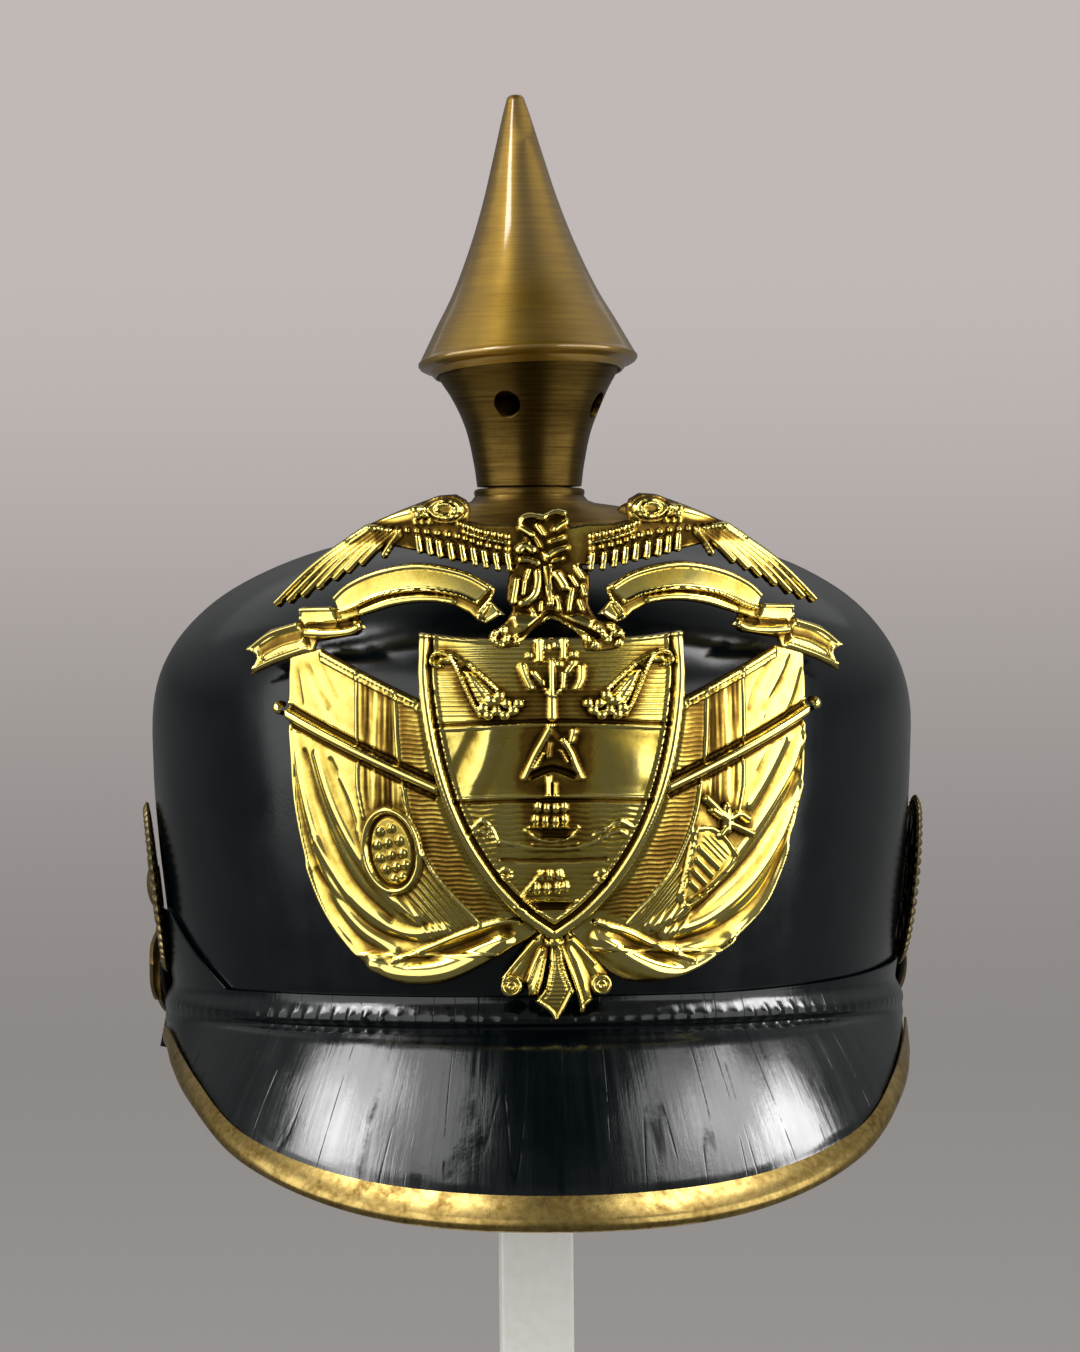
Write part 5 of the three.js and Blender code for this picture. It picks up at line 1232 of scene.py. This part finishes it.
# Ribbon knot below the shield
knotForm = {
    "span": ((-13.6, -6.6), (13.8, 16)), "cell": (0.22, 0.22), "level": 2.0,
    "strips": [  # outline of each end, from the back to the front
        [(-2.4, 15.6), (-6.6, 12.2), (-12.2, 5), (-12.4, 1.6), (-9, 0.2), (-6.8, 1.6), (-6, 5), (-1, 12)],
        [(3, 15.6), (7, 12.2), (12.2, 5.6), (12.8, 2.6), (10.6, 0.4), (8.2, 1.2), (6.4, 5), (1, 12)],
        [(-3.4, 12.6), (-6.6, 4), (-6, 0.4), (-3.6, 0.6), (-2.4, 3.6), (-0.6, 12.6)],
        [(1, 12.6), (3.4, 5), (5.2, -0.4), (6.1, -3.9), (7, -1.8), (8.6, -0.4), (8.2, 4), (6.6, 9),
         (4.2, 13)],
        [(-1, 13.4), (-1.3, 6.8), (-2.4, 2), (-4.5, -0.6), (-1.2, -3.3), (0.3, -5.6), (2.2, -2.6), (4.3, 1.7),
         (2.6, 6), (1.1, 13.4)]],
    "curls": [(-9.6, 2.8), (10.4, 3)],
    "lines": [
        ([(-4.4, 13), (-8.2, 8.8), (-11.8, 4.4)], 0.6, 0.7), ([(-3, 11), (-4.6, 7.6), (-6, 4)], 0.7, 0.8),
        ([(-2.8, 9), (-4, 4), (-4.8, 1)], 0.35, 0.4), ([(-2, 9), (-3, 4), (-3.8, 1)], 0.35, 0.4),
        ([(4, 13.2), (6.4, 10.8), (9, 8)], 0.75, 0.8),
        ([(1.4, 11.6), (3.6, 6), (5.4, 0.4), (6.2, -3.2)], 0.65, 0.9),
        ([(6.4, -3), (7.2, -1.4), (8.2, -0.4)], 0.5, 0.6),
        ([(-0.6, 11.8), (-0.9, 6.8), (-1.9, 2.2), (-3.9, -0.5)], 0.55, 0.8),
        ([(0.8, 11.4), (2.4, 6), (3.8, 1.8)], 0.55, 0.8), ([(-4, -0.6), (-1, -2.8), (0.2, -4.9)], 0.6, 0.8),
        ([(0.6, -4.8), (2, -2.2), (3.8, 1.4)], 0.6, 0.8)],
    "ribs": [(-1.2, 9), (-1.6, 3), (-2.8, 0), (-0.6, -2.4), (0.2, -3.4), (2.6, 0.4), (2.8, 3), (1.4, 9)],
}


def makeKnot():
    form = knotForm
    sheet = openSheet(*form["span"], form["cell"])
    for i, strip in enumerate(form["strips"]):
        addArea(sheet, np.array(strip))
        level = form["level"] + 0.4 * (i // 2)
        inner = inArea(sheet["u"], sheet["v"], np.array(strip))
        rise = level - 0.4 + 0.4 * smoothStep(inner, -0.4, 0.4) + 0.4 * smoothStep(inner, 0.3, 2)
        sheet["h"] = np.where(inner > -0.4, np.maximum(sheet["h"], rise), sheet["h"])
    for centre in form["curls"]:
        addArea(sheet, ringLine(centre, (2.6, 2.6))[:-1])
        stampDots(sheet, [centre], radius=2.6, rise=0.8, level=form["level"] + 0.2)
        stampLine(sheet, ringLine(centre, (2, 2)), half=0.55, rise=0.7)
        stampLine(sheet, ringLine(centre, (0.8, 0.8)), half=0.5, rise=0.6)
    stampHatch(sheet, form["ribs"], turn=0, pitch=0.95, depth=0.13)
    stampLines(sheet, form["lines"])
    stampDots(sheet, [(0, 13)], radius=2.2, rise=1.2, squash=0.8, level=form["level"] + 1)
    return finishSheet("plateKnot", sheet)


makeKnot()
print("knot made")

# Rosettes at the sides: a beaded dish with petals and a boss, on a short stem
rosette = {
    "radius": 20.4, "height": 22.6, "standOff": 0.8, "metal": 0.7, "beads": 48, "beadCircle": 19,
    "beadRadius": 1.3, "petals": 6, "petalFrom": 5.4, "petalTo": 16, "petalHalf": 3.4, "petalRise": 1.3,
    "boss": 5.6, "bossRise": 2.4, "stem": 4, "gap": 0.3,
}


def rosetteHeight(radius, around):
    form = rosette
    beadTurn = 2 * np.pi / form["beads"]
    beadOff = np.hypot(radius - form["beadCircle"], form["beadCircle"] * (
        (around + beadTurn / 2) % beadTurn - beadTurn / 2)) / form["beadRadius"]
    beads = 1.1 * np.sqrt(np.clip(1 - beadOff ** 2, 0, 1))
    rings = 0.6 * np.exp(-((radius - 16.9) / 0.5) ** 2) + 0.35 * np.exp(-((radius - 6.4) / 0.45) ** 2)
    petalTurn = np.pi / form["petals"]
    petals = 0 * radius
    for shift, rise, half in ((0, 1, 1), (petalTurn, 0.6, 0.7)):
        turn = (around + shift + petalTurn) % (2 * petalTurn) - petalTurn
        share = np.clip((radius - form["petalFrom"]) / (form["petalTo"] - form["petalFrom"]), 0, 1)
        wide = half * form["petalHalf"] * np.sin(np.pi * share ** 0.8) ** 0.7 + 1e-6
        across = np.clip(np.abs(radius * np.sin(turn)) / wide, 0, 1)
        leaf = form["petalRise"] * rise * (1 - across ** 2) ** 0.6 * (share > 0) * (share < 1)
        petals = np.maximum(petals, leaf - 0.35 * np.exp(-(radius * np.sin(turn) / 0.35) ** 2) * (leaf > 0))
    boss = form["bossRise"] * np.sqrt(np.clip(1 - (radius / form["boss"]) ** 2, 0, 1))
    return form["standOff"] + form["metal"] + np.maximum.reduce([beads, rings, petals, boss])


def makeRosette(name, node, side):
    tilt = math.atan2(float(halfWidthAt(rosette["height"] + 5) - halfWidthAt(rosette["height"] - 5)), 10)
    lean = side * (math.pi / 2 + tilt)
    seatX, seatY, seatZ = beside(side * 90, rosette["height"], 0)

    def seat(x, y, z):
        return toFrame(seatX + x * math.cos(lean) + z * math.sin(lean), seatY + y,
                       seatZ - x * math.sin(lean) + z * math.cos(lean))

    def place(s, t):
        around = 2 * np.pi * s
        reach = rosette["radius"] + 0.45 * np.cos(rosette["beads"] * around)
        radius = mix(reach, 0, t)
        return seat(radius * np.cos(around), radius * np.sin(around), rosetteHeight(radius, around))

    dish = gridPiece(name, columns=288, rows=26, place=place)
    closeMesh()
    applyModifier(dish, "SOLIDIFY", thickness=rosette["metal"] * mm, offset=-1.0)
    steps = [(rosette["stem"] + 1.4, rosette["gap"]), (rosette["stem"], rosette["gap"] + 0.6),
             (rosette["stem"], rosette["standOff"] + 0.4)]
    stem = spinProfile("stem", [(0, steps[0][1])] + steps + [(0, steps[-1][1])], steps=32, base=0)
    points = readPoints(stem) / mm
    writePoints(stem, seat(points[:, 0], points[:, 1], points[:, 2]))
    return finishPiece(joinPieces(name, [dish, stem]), node, rosetteBrass, smoothAngle=50)


# Chin strap: leather backing and brass scales from each rosette round the back,
# where a sleeve joins the halves
strap = {
    "turn": [99.3, 103, 112, 128, 150, 166, 174, 179.2], "height": [8.2, 1.8, -1.6, 0.8, 3.4, 4.4, 4.6, 4.6],
    "offset": [2.4, 3.5, 3.5, 3.4, 3.4, 4.6, 5.5, 5.1], "half": [6.6, 8.8, 9, 8.6, 7.8, 7.2, 7, 7],
    "leather": 1.2, "gap": 0.3, "firstScale": 1.5, "pitch": 11, "overlap": 1.42, "scaleMetal": 0.8,
    "scaleRise": 0.8, "scaleDome": 1.2,
}
clasp = {"length": 15, "height": 17, "wall": 1}


def strapLine(side):
    rows = zip(strap["turn"], strap["height"], strap["offset"])
    route = np.array([np.array(beside(side * turn, height, offset)) for turn, height, offset in rows])
    middle = smoothLine(route, 24)
    walked = np.append(0, np.cumsum(np.linalg.norm(np.diff(middle, axis=0), axis=1)))
    return {"middle": middle, "walked": walked, "length": walked[-1]}


def onStrap(line, distance, across, up):  # across and up are measured from the middle of the backing
    at = np.clip(distance, 0, line["length"])
    middle = np.stack([np.interp(at, line["walked"], line["middle"][:, k]) for k in range(3)], -1)
    slopes = np.gradient(line["middle"], line["walked"], axis=0)
    ahead = np.stack([np.interp(at, line["walked"], slopes[:, k]) for k in range(3)], -1)
    turn = np.arctan2(middle[:, 0] * skull["lengthRatio"], -middle[:, 1] / skull["lengthRatio"])
    outward = np.stack([np.sin(turn), -np.cos(turn), 0 * turn], -1)
    aside = np.cross(outward, ahead)
    aside /= np.linalg.norm(aside, axis=1, keepdims=True)
    half = np.interp(at / line["length"], np.linspace(0, 1, len(strap["half"])), strap["half"])
    point = middle + aside * (across * half)[:, None] + outward * up[:, None]
    return toFrame(point[:, 0], point[:, 1], point[:, 2])


def makeStrap(name, node, side):
    line = strapLine(side)

    def place(s, t):
        across = side * mix(1, -1, t)
        crease = 0.18 * np.exp(-((np.abs(across) - 0.84) / 0.05) ** 2)
        return onStrap(line, s * (line["length"] - strap["gap"]), across, strap["leather"] - crease)

    piece = gridPiece(name, columns=120, rows=26, place=place)
    applyModifier(piece, "SOLIDIFY", thickness=strap["leather"] * mm, offset=-1.0)
    applyModifier(piece, "BEVEL", width=0.3 * mm, segments=2, limit_method="ANGLE",
                  angle_limit=math.radians(70))
    return finishPiece(piece, node, strapLeather)


def flatScale():  # one scale laid flat: its root at x 0, its rounded end at x 1, and y across
    def place(s, t):
        side = mix(-1, 1, t)
        endWidth = np.sqrt(np.clip(1 - (np.clip((s - 0.52) / 0.48, 0, 1)) ** 2.2, 0, 1))
        width = mix(0.95, 1, smoothStep(s, 0, 0.5)) * np.maximum(endWidth, 0.02)
        lip = 0.25 * smoothStep(np.maximum(np.abs(side), (s - 0.6) / 0.4), 0.86, 0.97)
        dome = strap["scaleDome"] * (1 - (0.9 * side) ** 2) * np.sqrt(np.clip(endWidth, 0, 1))
        up = strap["leather"] + strap["gap"] + strap["scaleMetal"] + strap["scaleRise"] * s + dome + lip
        return np.stack([s, side * width, up], -1)

    return gridPiece("flatScale", columns=22, rows=20, place=place)


def makeScales(name, node, side, pattern):
    line = strapLine(side)
    last = line["length"] - clasp["length"] / 2 - 1
    count = round((last - strap["firstScale"]) / strap["pitch"])
    pitch = (last - strap["firstScale"]) / count
    scales = []
    for i in range(count):
        deselectAll()
        pattern.select_set(True)
        bpy.context.view_layer.objects.active = pattern
        bpy.ops.object.duplicate()
        scale = bpy.context.object
        along, across, up = readPoints(scale).T
        reach = pitch * strap["overlap"] if i + 1 < count else pitch
        writePoints(scale, onStrap(line, strap["firstScale"] + i * pitch + along * reach, across, up))
        if side < 0:
            scale.data.flip_normals()
        applyModifier(scale, "SOLIDIFY", thickness=strap["scaleMetal"] * mm, offset=-1.0)
        scales.append(scale)
    return finishPiece(joinPieces(name, scales), node, rosetteBrass, smoothAngle=50)


def makeClasp():
    inside = strap["leather"] + 3 * strap["gap"]
    wide, high = inside + 2 * clasp["wall"], clasp["height"]
    backX, backY, backZ = beside(180, strap["height"][-1], strap["offset"][-1] + strap["leather"] / 2)

    def place(s, t):
        around = 2 * np.pi * s
        x, z = np.cos(around), np.sin(around)
        boxy = 1 / np.maximum(np.abs(x) ** 9 + np.abs(z) ** 9, 1e-9) ** (1 / 9)
        end = 0.35 * smoothStep(np.abs(t - 0.5), 0.38, 0.42)
        rib = 0.3 * np.exp(-((t - 0.5) / 0.05) ** 2)
        out, up = x * boxy * (wide / 2 + end + rib), z * boxy * (high / 2 + end + rib)
        return toFrame(backX + mix(clasp["length"] / 2, -clasp["length"] / 2, t), backY + out, backZ + up)

    piece = gridPiece("chinClasp", columns=72, rows=24, place=place)
    closeMesh()
    applyModifier(piece, "SOLIDIFY", thickness=clasp["wall"] * mm, offset=-1.0)
    return finishPiece(piece, "chin_clasp", rosetteBrass, smoothAngle=50)


# Rear spine: a ridged brass strip down the middle of the back,
# from the spike base to the edge of the rear peak
spine = {"half": 5, "edge": 0.7, "ridge": 1.5, "lift": 0.4, "metal": 0.7,
         "crownRadii": [36.6, 48, 58, 67, 75, 81.5, 86.4, 89.8], "heights": [60, 45, 30, 15, 5]}


def makeSpine():
    route = [(r * skull["lengthRatio"], float(crownAt(r))) for r in spine["crownRadii"]]
    route += [(float(beside(180, h, 0)[1]), h) for h in spine["heights"]]
    seam = float(beside(180, 0, 0)[1])
    flange = peak["gap"] + peak["leather"] + peak["rearToothRise"]
    route += [(seam + flange - 0.4, 0.4), (seam + flange, -3), (seam + flange, -6)]
    for share in (0.12, 0.4, 0.7, 1.0):
        out, up = peakSlope(rearReach, 0.0, share, peak["leather"])
        route.append((seam + float(out), float(up)))
    line = smoothLine(route, 10)
    slope = np.gradient(line, axis=0)
    slope /= np.linalg.norm(slope, axis=1, keepdims=True)
    steps = np.linspace(0, 1, len(line))

    def place(s, t):
        across = mix(1, -1, s)
        ridge = spine["edge"] + (spine["ridge"] - spine["edge"]) * (1 - np.abs(across)) ** 1.3
        bead = 0.45 * np.exp(-((np.abs(across) - 0.88) / 0.09) ** 2)
        y, z = (np.interp(t, steps, line[:, k]) for k in (0, 1))
        aheadY, aheadZ = (np.interp(t, steps, slope[:, k]) for k in (0, 1))
        rise = spine["lift"] + ridge + bead
        return toFrame(across * spine["half"], y - aheadZ * rise, z + aheadY * rise)

    piece = gridPiece("rearSpine", columns=24, rows=120, place=place)
    closeMesh()
    applyModifier(piece, "SOLIDIFY", thickness=spine["metal"] * mm, offset=-1.0)
    return finishPiece(piece, "rear_spine", darkBrass, smoothAngle=50)


pattern = flatScale()
for side, word in ((-1, "left"), (1, "right")):
    makeRosette("rosette" + word.title(), "rosette_" + word, side)
    makeStrap("chinStrap" + word.title(), "chin_strap_" + word, side)
    makeScales("chinScales" + word.title(), "chin_scales_" + word, side, pattern)
bpy.data.objects.remove(pattern)
makeClasp()
makeSpine()
print("rosettes, chin strap and spine made")

# Stand: a plain acrylic foot, post and pad
stand = {
    "foot": 150, "footHeight": 10, "footCorner": 12, "footEdge": 1.5, "post": 17.5, "postTop": 257.8,
    "postCorner": 1.0, "postEdge": 0.4, "gap": 0.3, "padRadius": 34, "padBottom": 98.1, "padGap": 0.5,
}


def frostedAcrylic():  # cast acrylic rubbed matt: pale, soft at the edges, with faint rubbing marks
    material, tree = newMaterial("frostedAcrylic")
    place = addNode(tree, "ShaderNodeTexCoord").outputs["Object"]
    rub = addNode(tree, "ShaderNodeTexNoise", {"Vector": place, "Scale": 1 / (3 * mm), "Detail": 3.0})
    colour = setRamp(addNode(tree, "ShaderNodeValToRGB", {"Fac": rub.outputs["Fac"]}),
                     [(0.3, linear("#f4f6ee")), (0.7, linear("#fbfcf7"))])
    gloss = setRamp(addNode(tree, "ShaderNodeValToRGB", {"Fac": rub.outputs["Fac"]}),
                    [(0.3, grey(0.32)), (0.7, grey(0.45))])
    shader = addNode(tree, "ShaderNodeBsdfPrincipled", {
        "Base Color": colour.outputs["Color"], "Roughness": gloss.outputs["Color"], "IOR": 1.49})
    addNode(tree, "ShaderNodeOutputMaterial", {"Surface": shader.outputs["BSDF"]})
    return material


acrylic = frostedAcrylic()


def roundedBox(name, size, low, high, corner, edge):
    deselectAll()
    bpy.ops.mesh.primitive_cube_add(size=1, location=(0, 0, (low + high) / 2 * mm),
                                    scale=(size * mm, size * mm, (high - low - 2 * edge) * mm))
    piece = bpy.context.object
    piece.name = name
    bpy.ops.object.transform_apply(location=True, rotation=True, scale=True)
    bpy.ops.object.mode_set(mode="EDIT")
    bpy.ops.mesh.select_mode(type="EDGE")
    bpy.ops.mesh.select_all(action="DESELECT")
    bpy.ops.object.mode_set(mode="OBJECT")
    for line in piece.data.edges:
        ends = [piece.data.vertices[i].co for i in line.vertices]
        line.select = abs(ends[0].z - ends[1].z) > 1e-6
    bpy.ops.object.mode_set(mode="EDIT")
    bpy.ops.mesh.bevel(offset=corner * mm, segments=8, affect="EDGES")
    for end in (1, -1):  # each end face is drawn out in small steps, for its rounded edge
        bpy.ops.mesh.select_mode(type="FACE")
        bpy.ops.mesh.select_all(action="DESELECT")
        bpy.ops.object.mode_set(mode="OBJECT")
        for face in piece.data.polygons:
            face.select = face.normal.z * end > 0.99
        bpy.ops.object.mode_set(mode="EDIT")
        width, rise = size, 0
        for turn in np.radians([30, 60, 90]):
            nextWidth, nextRise = size - 2 * edge * (1 - math.cos(turn)), edge * math.sin(turn)
            share = nextWidth / width
            bpy.ops.mesh.extrude_region_move(
                TRANSFORM_OT_translate={"value": (0, 0, end * (nextRise - rise) * mm)})
            bpy.ops.transform.resize(value=(share, share, 1), center_override=(0, 0, 0))
            width, rise = nextWidth, nextRise
    bpy.ops.mesh.select_mode(type="VERT")
    bpy.ops.object.mode_set(mode="OBJECT")
    return piece


def makeStand():
    top, bottom = stand["footHeight"], stand["padBottom"]
    foot = roundedBox("standFoot", stand["foot"], low=0, high=top, corner=stand["footCorner"],
                      edge=stand["footEdge"])
    finishPiece(foot, "stand_foot", acrylic)
    post = roundedBox("standPost", stand["post"], top + stand["gap"], stand["postTop"], stand["postCorner"],
                      stand["postEdge"])
    finishPiece(post, "stand_post", acrylic)
    radii = np.linspace(stand["padRadius"], 0, 12)
    dome = [(float(r), float(crownAt(r, skull["wall"]) - stand["padGap"])) for r in radii]
    pad = spinProfile("standPad", [(0, bottom), (stand["padRadius"], bottom)] + dome, steps=64)
    points = readPoints(pad)
    points[:, 1] *= skull["lengthRatio"]
    writePoints(pad, points)
    finishPiece(pad, "stand_pad", acrylic)


makeStand()
print("stand made")

# Studio: a paper bowl of a backdrop, soft boxes to the left and right with a dark gap between them,
# bright lamps overhead and a broad one behind. Some lamps reach or skip single pieces, as a studio's
# flags and cards would, so that each piece has the reflections it needs.
studio = {
    "floor": 2200, "curve": 1300, "wall": 2600, "paper": "#6a6765", "glowLow": "#7c7977",
    "glowHigh": "#b8b0ae", "glowFrom": -40, "glowTo": 580, "sideGlow": 0.05, "sideWay": (0.75, 0.66, 0),
    "aim": 40, "lampDistance": 1500,
    "airGlow": [(0.0, 0.11), (0.12, 0.08), (0.4, 0.2), (0.8, 0.2), (0.96, 0.01)],
}
camera = {"distance": 1500, "turn": -2.5, "height": 72.8, "roll": 0.5, "lens": 164.1, "shiftX": 0.0067}
plateNames = ["plateShield", "plateFlagLeft", "plateFlagRight", "plateScrollLeft", "plateScrollRight",
              "plateBird", "plateKnot"]
lights = [
    {"name": "leftBox", "azimuth": -60, "elevation": 14, "size": (2260, 1300), "glow": 1.2,
     "skips": ["backdrop"]},
    {"name": "rightBox", "azimuth": 61, "elevation": 8, "size": (1800, 1090), "glow": 1.2,
     "skips": ["backdrop"]},
    {"name": "leftLamp", "azimuth": -87, "elevation": 50, "size": (560, 480), "glow": 7,
     "skips": ["spikeCone", "frontPeakBinding"]},
    {"name": "leftUpper", "azimuth": -62, "elevation": 59, "size": (480, 480), "glow": 2.6,
     "skips": ["spikeCone", "leatherSkull"]},
    {"name": "rightLamp", "azimuth": 78, "elevation": 47, "size": (460, 440), "glow": 6,
     "skips": ["spikeCone", "frontPeakBinding"]},
    {"name": "rightUpper", "azimuth": 62, "elevation": 55, "size": (360, 440), "glow": 2.6,
     "skips": ["spikeCone", "leatherSkull"]},
    {"name": "trimLeft", "azimuth": -66, "elevation": 57, "size": (620, 520), "glow": 3,
     "reaches": ["frontPeakBinding"]},
    {"name": "trimRight", "azimuth": 64, "elevation": 55, "size": (620, 520), "glow": 3,
     "reaches": ["frontPeakBinding"]},
    {"name": "plateLeft", "azimuth": -60, "elevation": 14, "size": (2260, 1300), "glow": 0.6,
     "reaches": plateNames},
    {"name": "plateRight", "azimuth": 61, "elevation": 10, "size": (1800, 1200), "glow": 1,
     "reaches": plateNames},
    {"name": "spikeStrip", "azimuth": -47, "elevation": 36, "size": (300, 900), "glow": 3.4,
     "reaches": ["spikeCone"]},
    {"name": "leftSeam", "azimuth": -77, "elevation": 41, "size": (560, 460), "glow": 8,
     "reaches": ["frontPeak"]},
    {"name": "rightSeam", "azimuth": 90, "elevation": 35, "size": (480, 460), "glow": 13,
     "reaches": ["frontPeak"]},
    {"name": "backLamp", "azimuth": 180, "elevation": 45, "distance": 1800, "size": (2400, 1200),
     "glow": 0.15},
]


def makeBackdrop():
    arc = np.linspace(0, math.pi / 2, 16)
    rows = [(0, 0), (studio["floor"], 0)]
    floor, curve = studio["floor"], studio["curve"]
    rows += [(floor + curve * math.sin(a), curve * (1 - math.cos(a))) for a in arc[1:]]
    rows += [(floor + curve, studio["wall"])]
    piece = spinProfile("backdrop", rows, steps=96, base=0)
    material, tree = newMaterial("paperBackdrop")
    place = addNode(tree, "ShaderNodeTexCoord").outputs["Object"]
    height = addNode(tree, "ShaderNodeSeparateXYZ", {"Vector": place}).outputs["Z"]
    # painted light: the paper glows by itself, dimmer on the floor and brighter up the wall
    share = addNode(tree, "ShaderNodeMapRange", {
        "Value": height, "From Min": studio["glowFrom"] * mm, "From Max": studio["glowTo"] * mm},
        interpolation_type="SMOOTHSTEP")
    glow = setRamp(addNode(tree, "ShaderNodeValToRGB", {"Fac": share.outputs["Result"]}),
                   [(0.0, linear(studio["glowLow"])), (1.0, linear(studio["glowHigh"]))])
    shader = addNode(tree, "ShaderNodeBsdfPrincipled", {
        "Base Color": linear(studio["paper"]), "Roughness": 0.9, "Specular IOR Level": 0.2,
        "Emission Color": glow.outputs["Color"], "Emission Strength": 1.0})
    addNode(tree, "ShaderNodeOutputMaterial", {"Surface": shader.outputs["BSDF"]})
    material.cycles.emission_sampling = "NONE"
    piece.data.materials.append(material)
    piece.visible_glossy = False
    piece.visible_shadow = False
    bpy.ops.object.shade_smooth()


def makeLights():
    aim = np.array([0, 0, skull["seam"] + studio["aim"]])
    for row in lights:
        azimuth, elevation = math.radians(row["azimuth"]), math.radians(row["elevation"])
        away = np.array([math.sin(azimuth) * math.cos(elevation), -math.cos(azimuth) * math.cos(elevation),
                         math.sin(elevation)])
        place = aim + away * row.get("distance", studio["lampDistance"])
        deselectAll()
        bpy.ops.object.light_add(type="AREA", location=(place * mm).tolist(),
                                 rotation=(math.pi / 2 - elevation, 0, azimuth))
        light = bpy.context.object
        light.name = row["name"]
        light.data.shape = "RECTANGLE"
        light.data.size, light.data.size_y = row["size"][0] * mm, row["size"][1] * mm
        light.data.energy = 4 * row["glow"] * light.data.size * light.data.size_y
        light.visible_camera = False
        for key, state in (("reaches", "INCLUDE"), ("skips", "EXCLUDE")):
            if key in row:
                linked = bpy.data.collections.new(row["name"] + "Pieces")
                for name in row[key]:
                    linked.objects.link(bpy.data.objects[name])
                for member in linked.collection_objects:
                    member.light_linking.link_state = state
                light.light_linking.receiver_collection = linked


def makeAir():  # a faint even glow, stronger half way up and behind on the right
    world = bpy.data.worlds.new("studioAir")
    world.use_nodes = True
    tree = world.node_tree
    way = addNode(tree, "ShaderNodeTexCoord").outputs["Generated"]
    parts = addNode(tree, "ShaderNodeSeparateXYZ", {"Vector": way})
    ahead = setRamp(addNode(tree, "ShaderNodeValToRGB", {"Fac": parts.outputs["Z"]}),
                    [(height, grey(glow)) for height, glow in studio["airGlow"]])
    aside = addNode(tree, "ShaderNodeVectorMath", {0: way, 1: studio["sideWay"]}, operation="DOT_PRODUCT")
    behind = addNode(tree, "ShaderNodeMapRange", {
        "Value": aside.outputs["Value"], "From Min": 0.2, "From Max": 0.9, "To Max": studio["sideGlow"]},
        interpolation_type="SMOOTHSTEP")
    glow = addNode(tree, "ShaderNodeMath", {0: ahead.outputs["Color"], 1: behind.outputs["Result"]},
                   operation="ADD")
    tree.nodes["Background"].inputs["Color"].default_value = (1, 1, 1, 1)
    tree.links.new(glow.outputs["Value"], tree.nodes["Background"].inputs["Strength"])
    bpy.context.scene.world = world


def makeCamera():
    turn = math.radians(camera["turn"])
    bpy.ops.object.camera_add(
        location=(camera["distance"] * mm * math.sin(turn), -camera["distance"] * mm * math.cos(turn),
                  (camera["height"] + skull["seam"]) * mm),
        rotation=(math.pi / 2, math.radians(camera["roll"]), turn))
    made = bpy.context.object
    made.data.lens = camera["lens"]
    made.data.shift_x = camera["shiftX"]
    bpy.context.scene.camera = made
    bpy.context.scene.view_settings.view_transform = "Standard"


makeBackdrop()
makeLights()
makeAir()
makeCamera()
print("studio made")
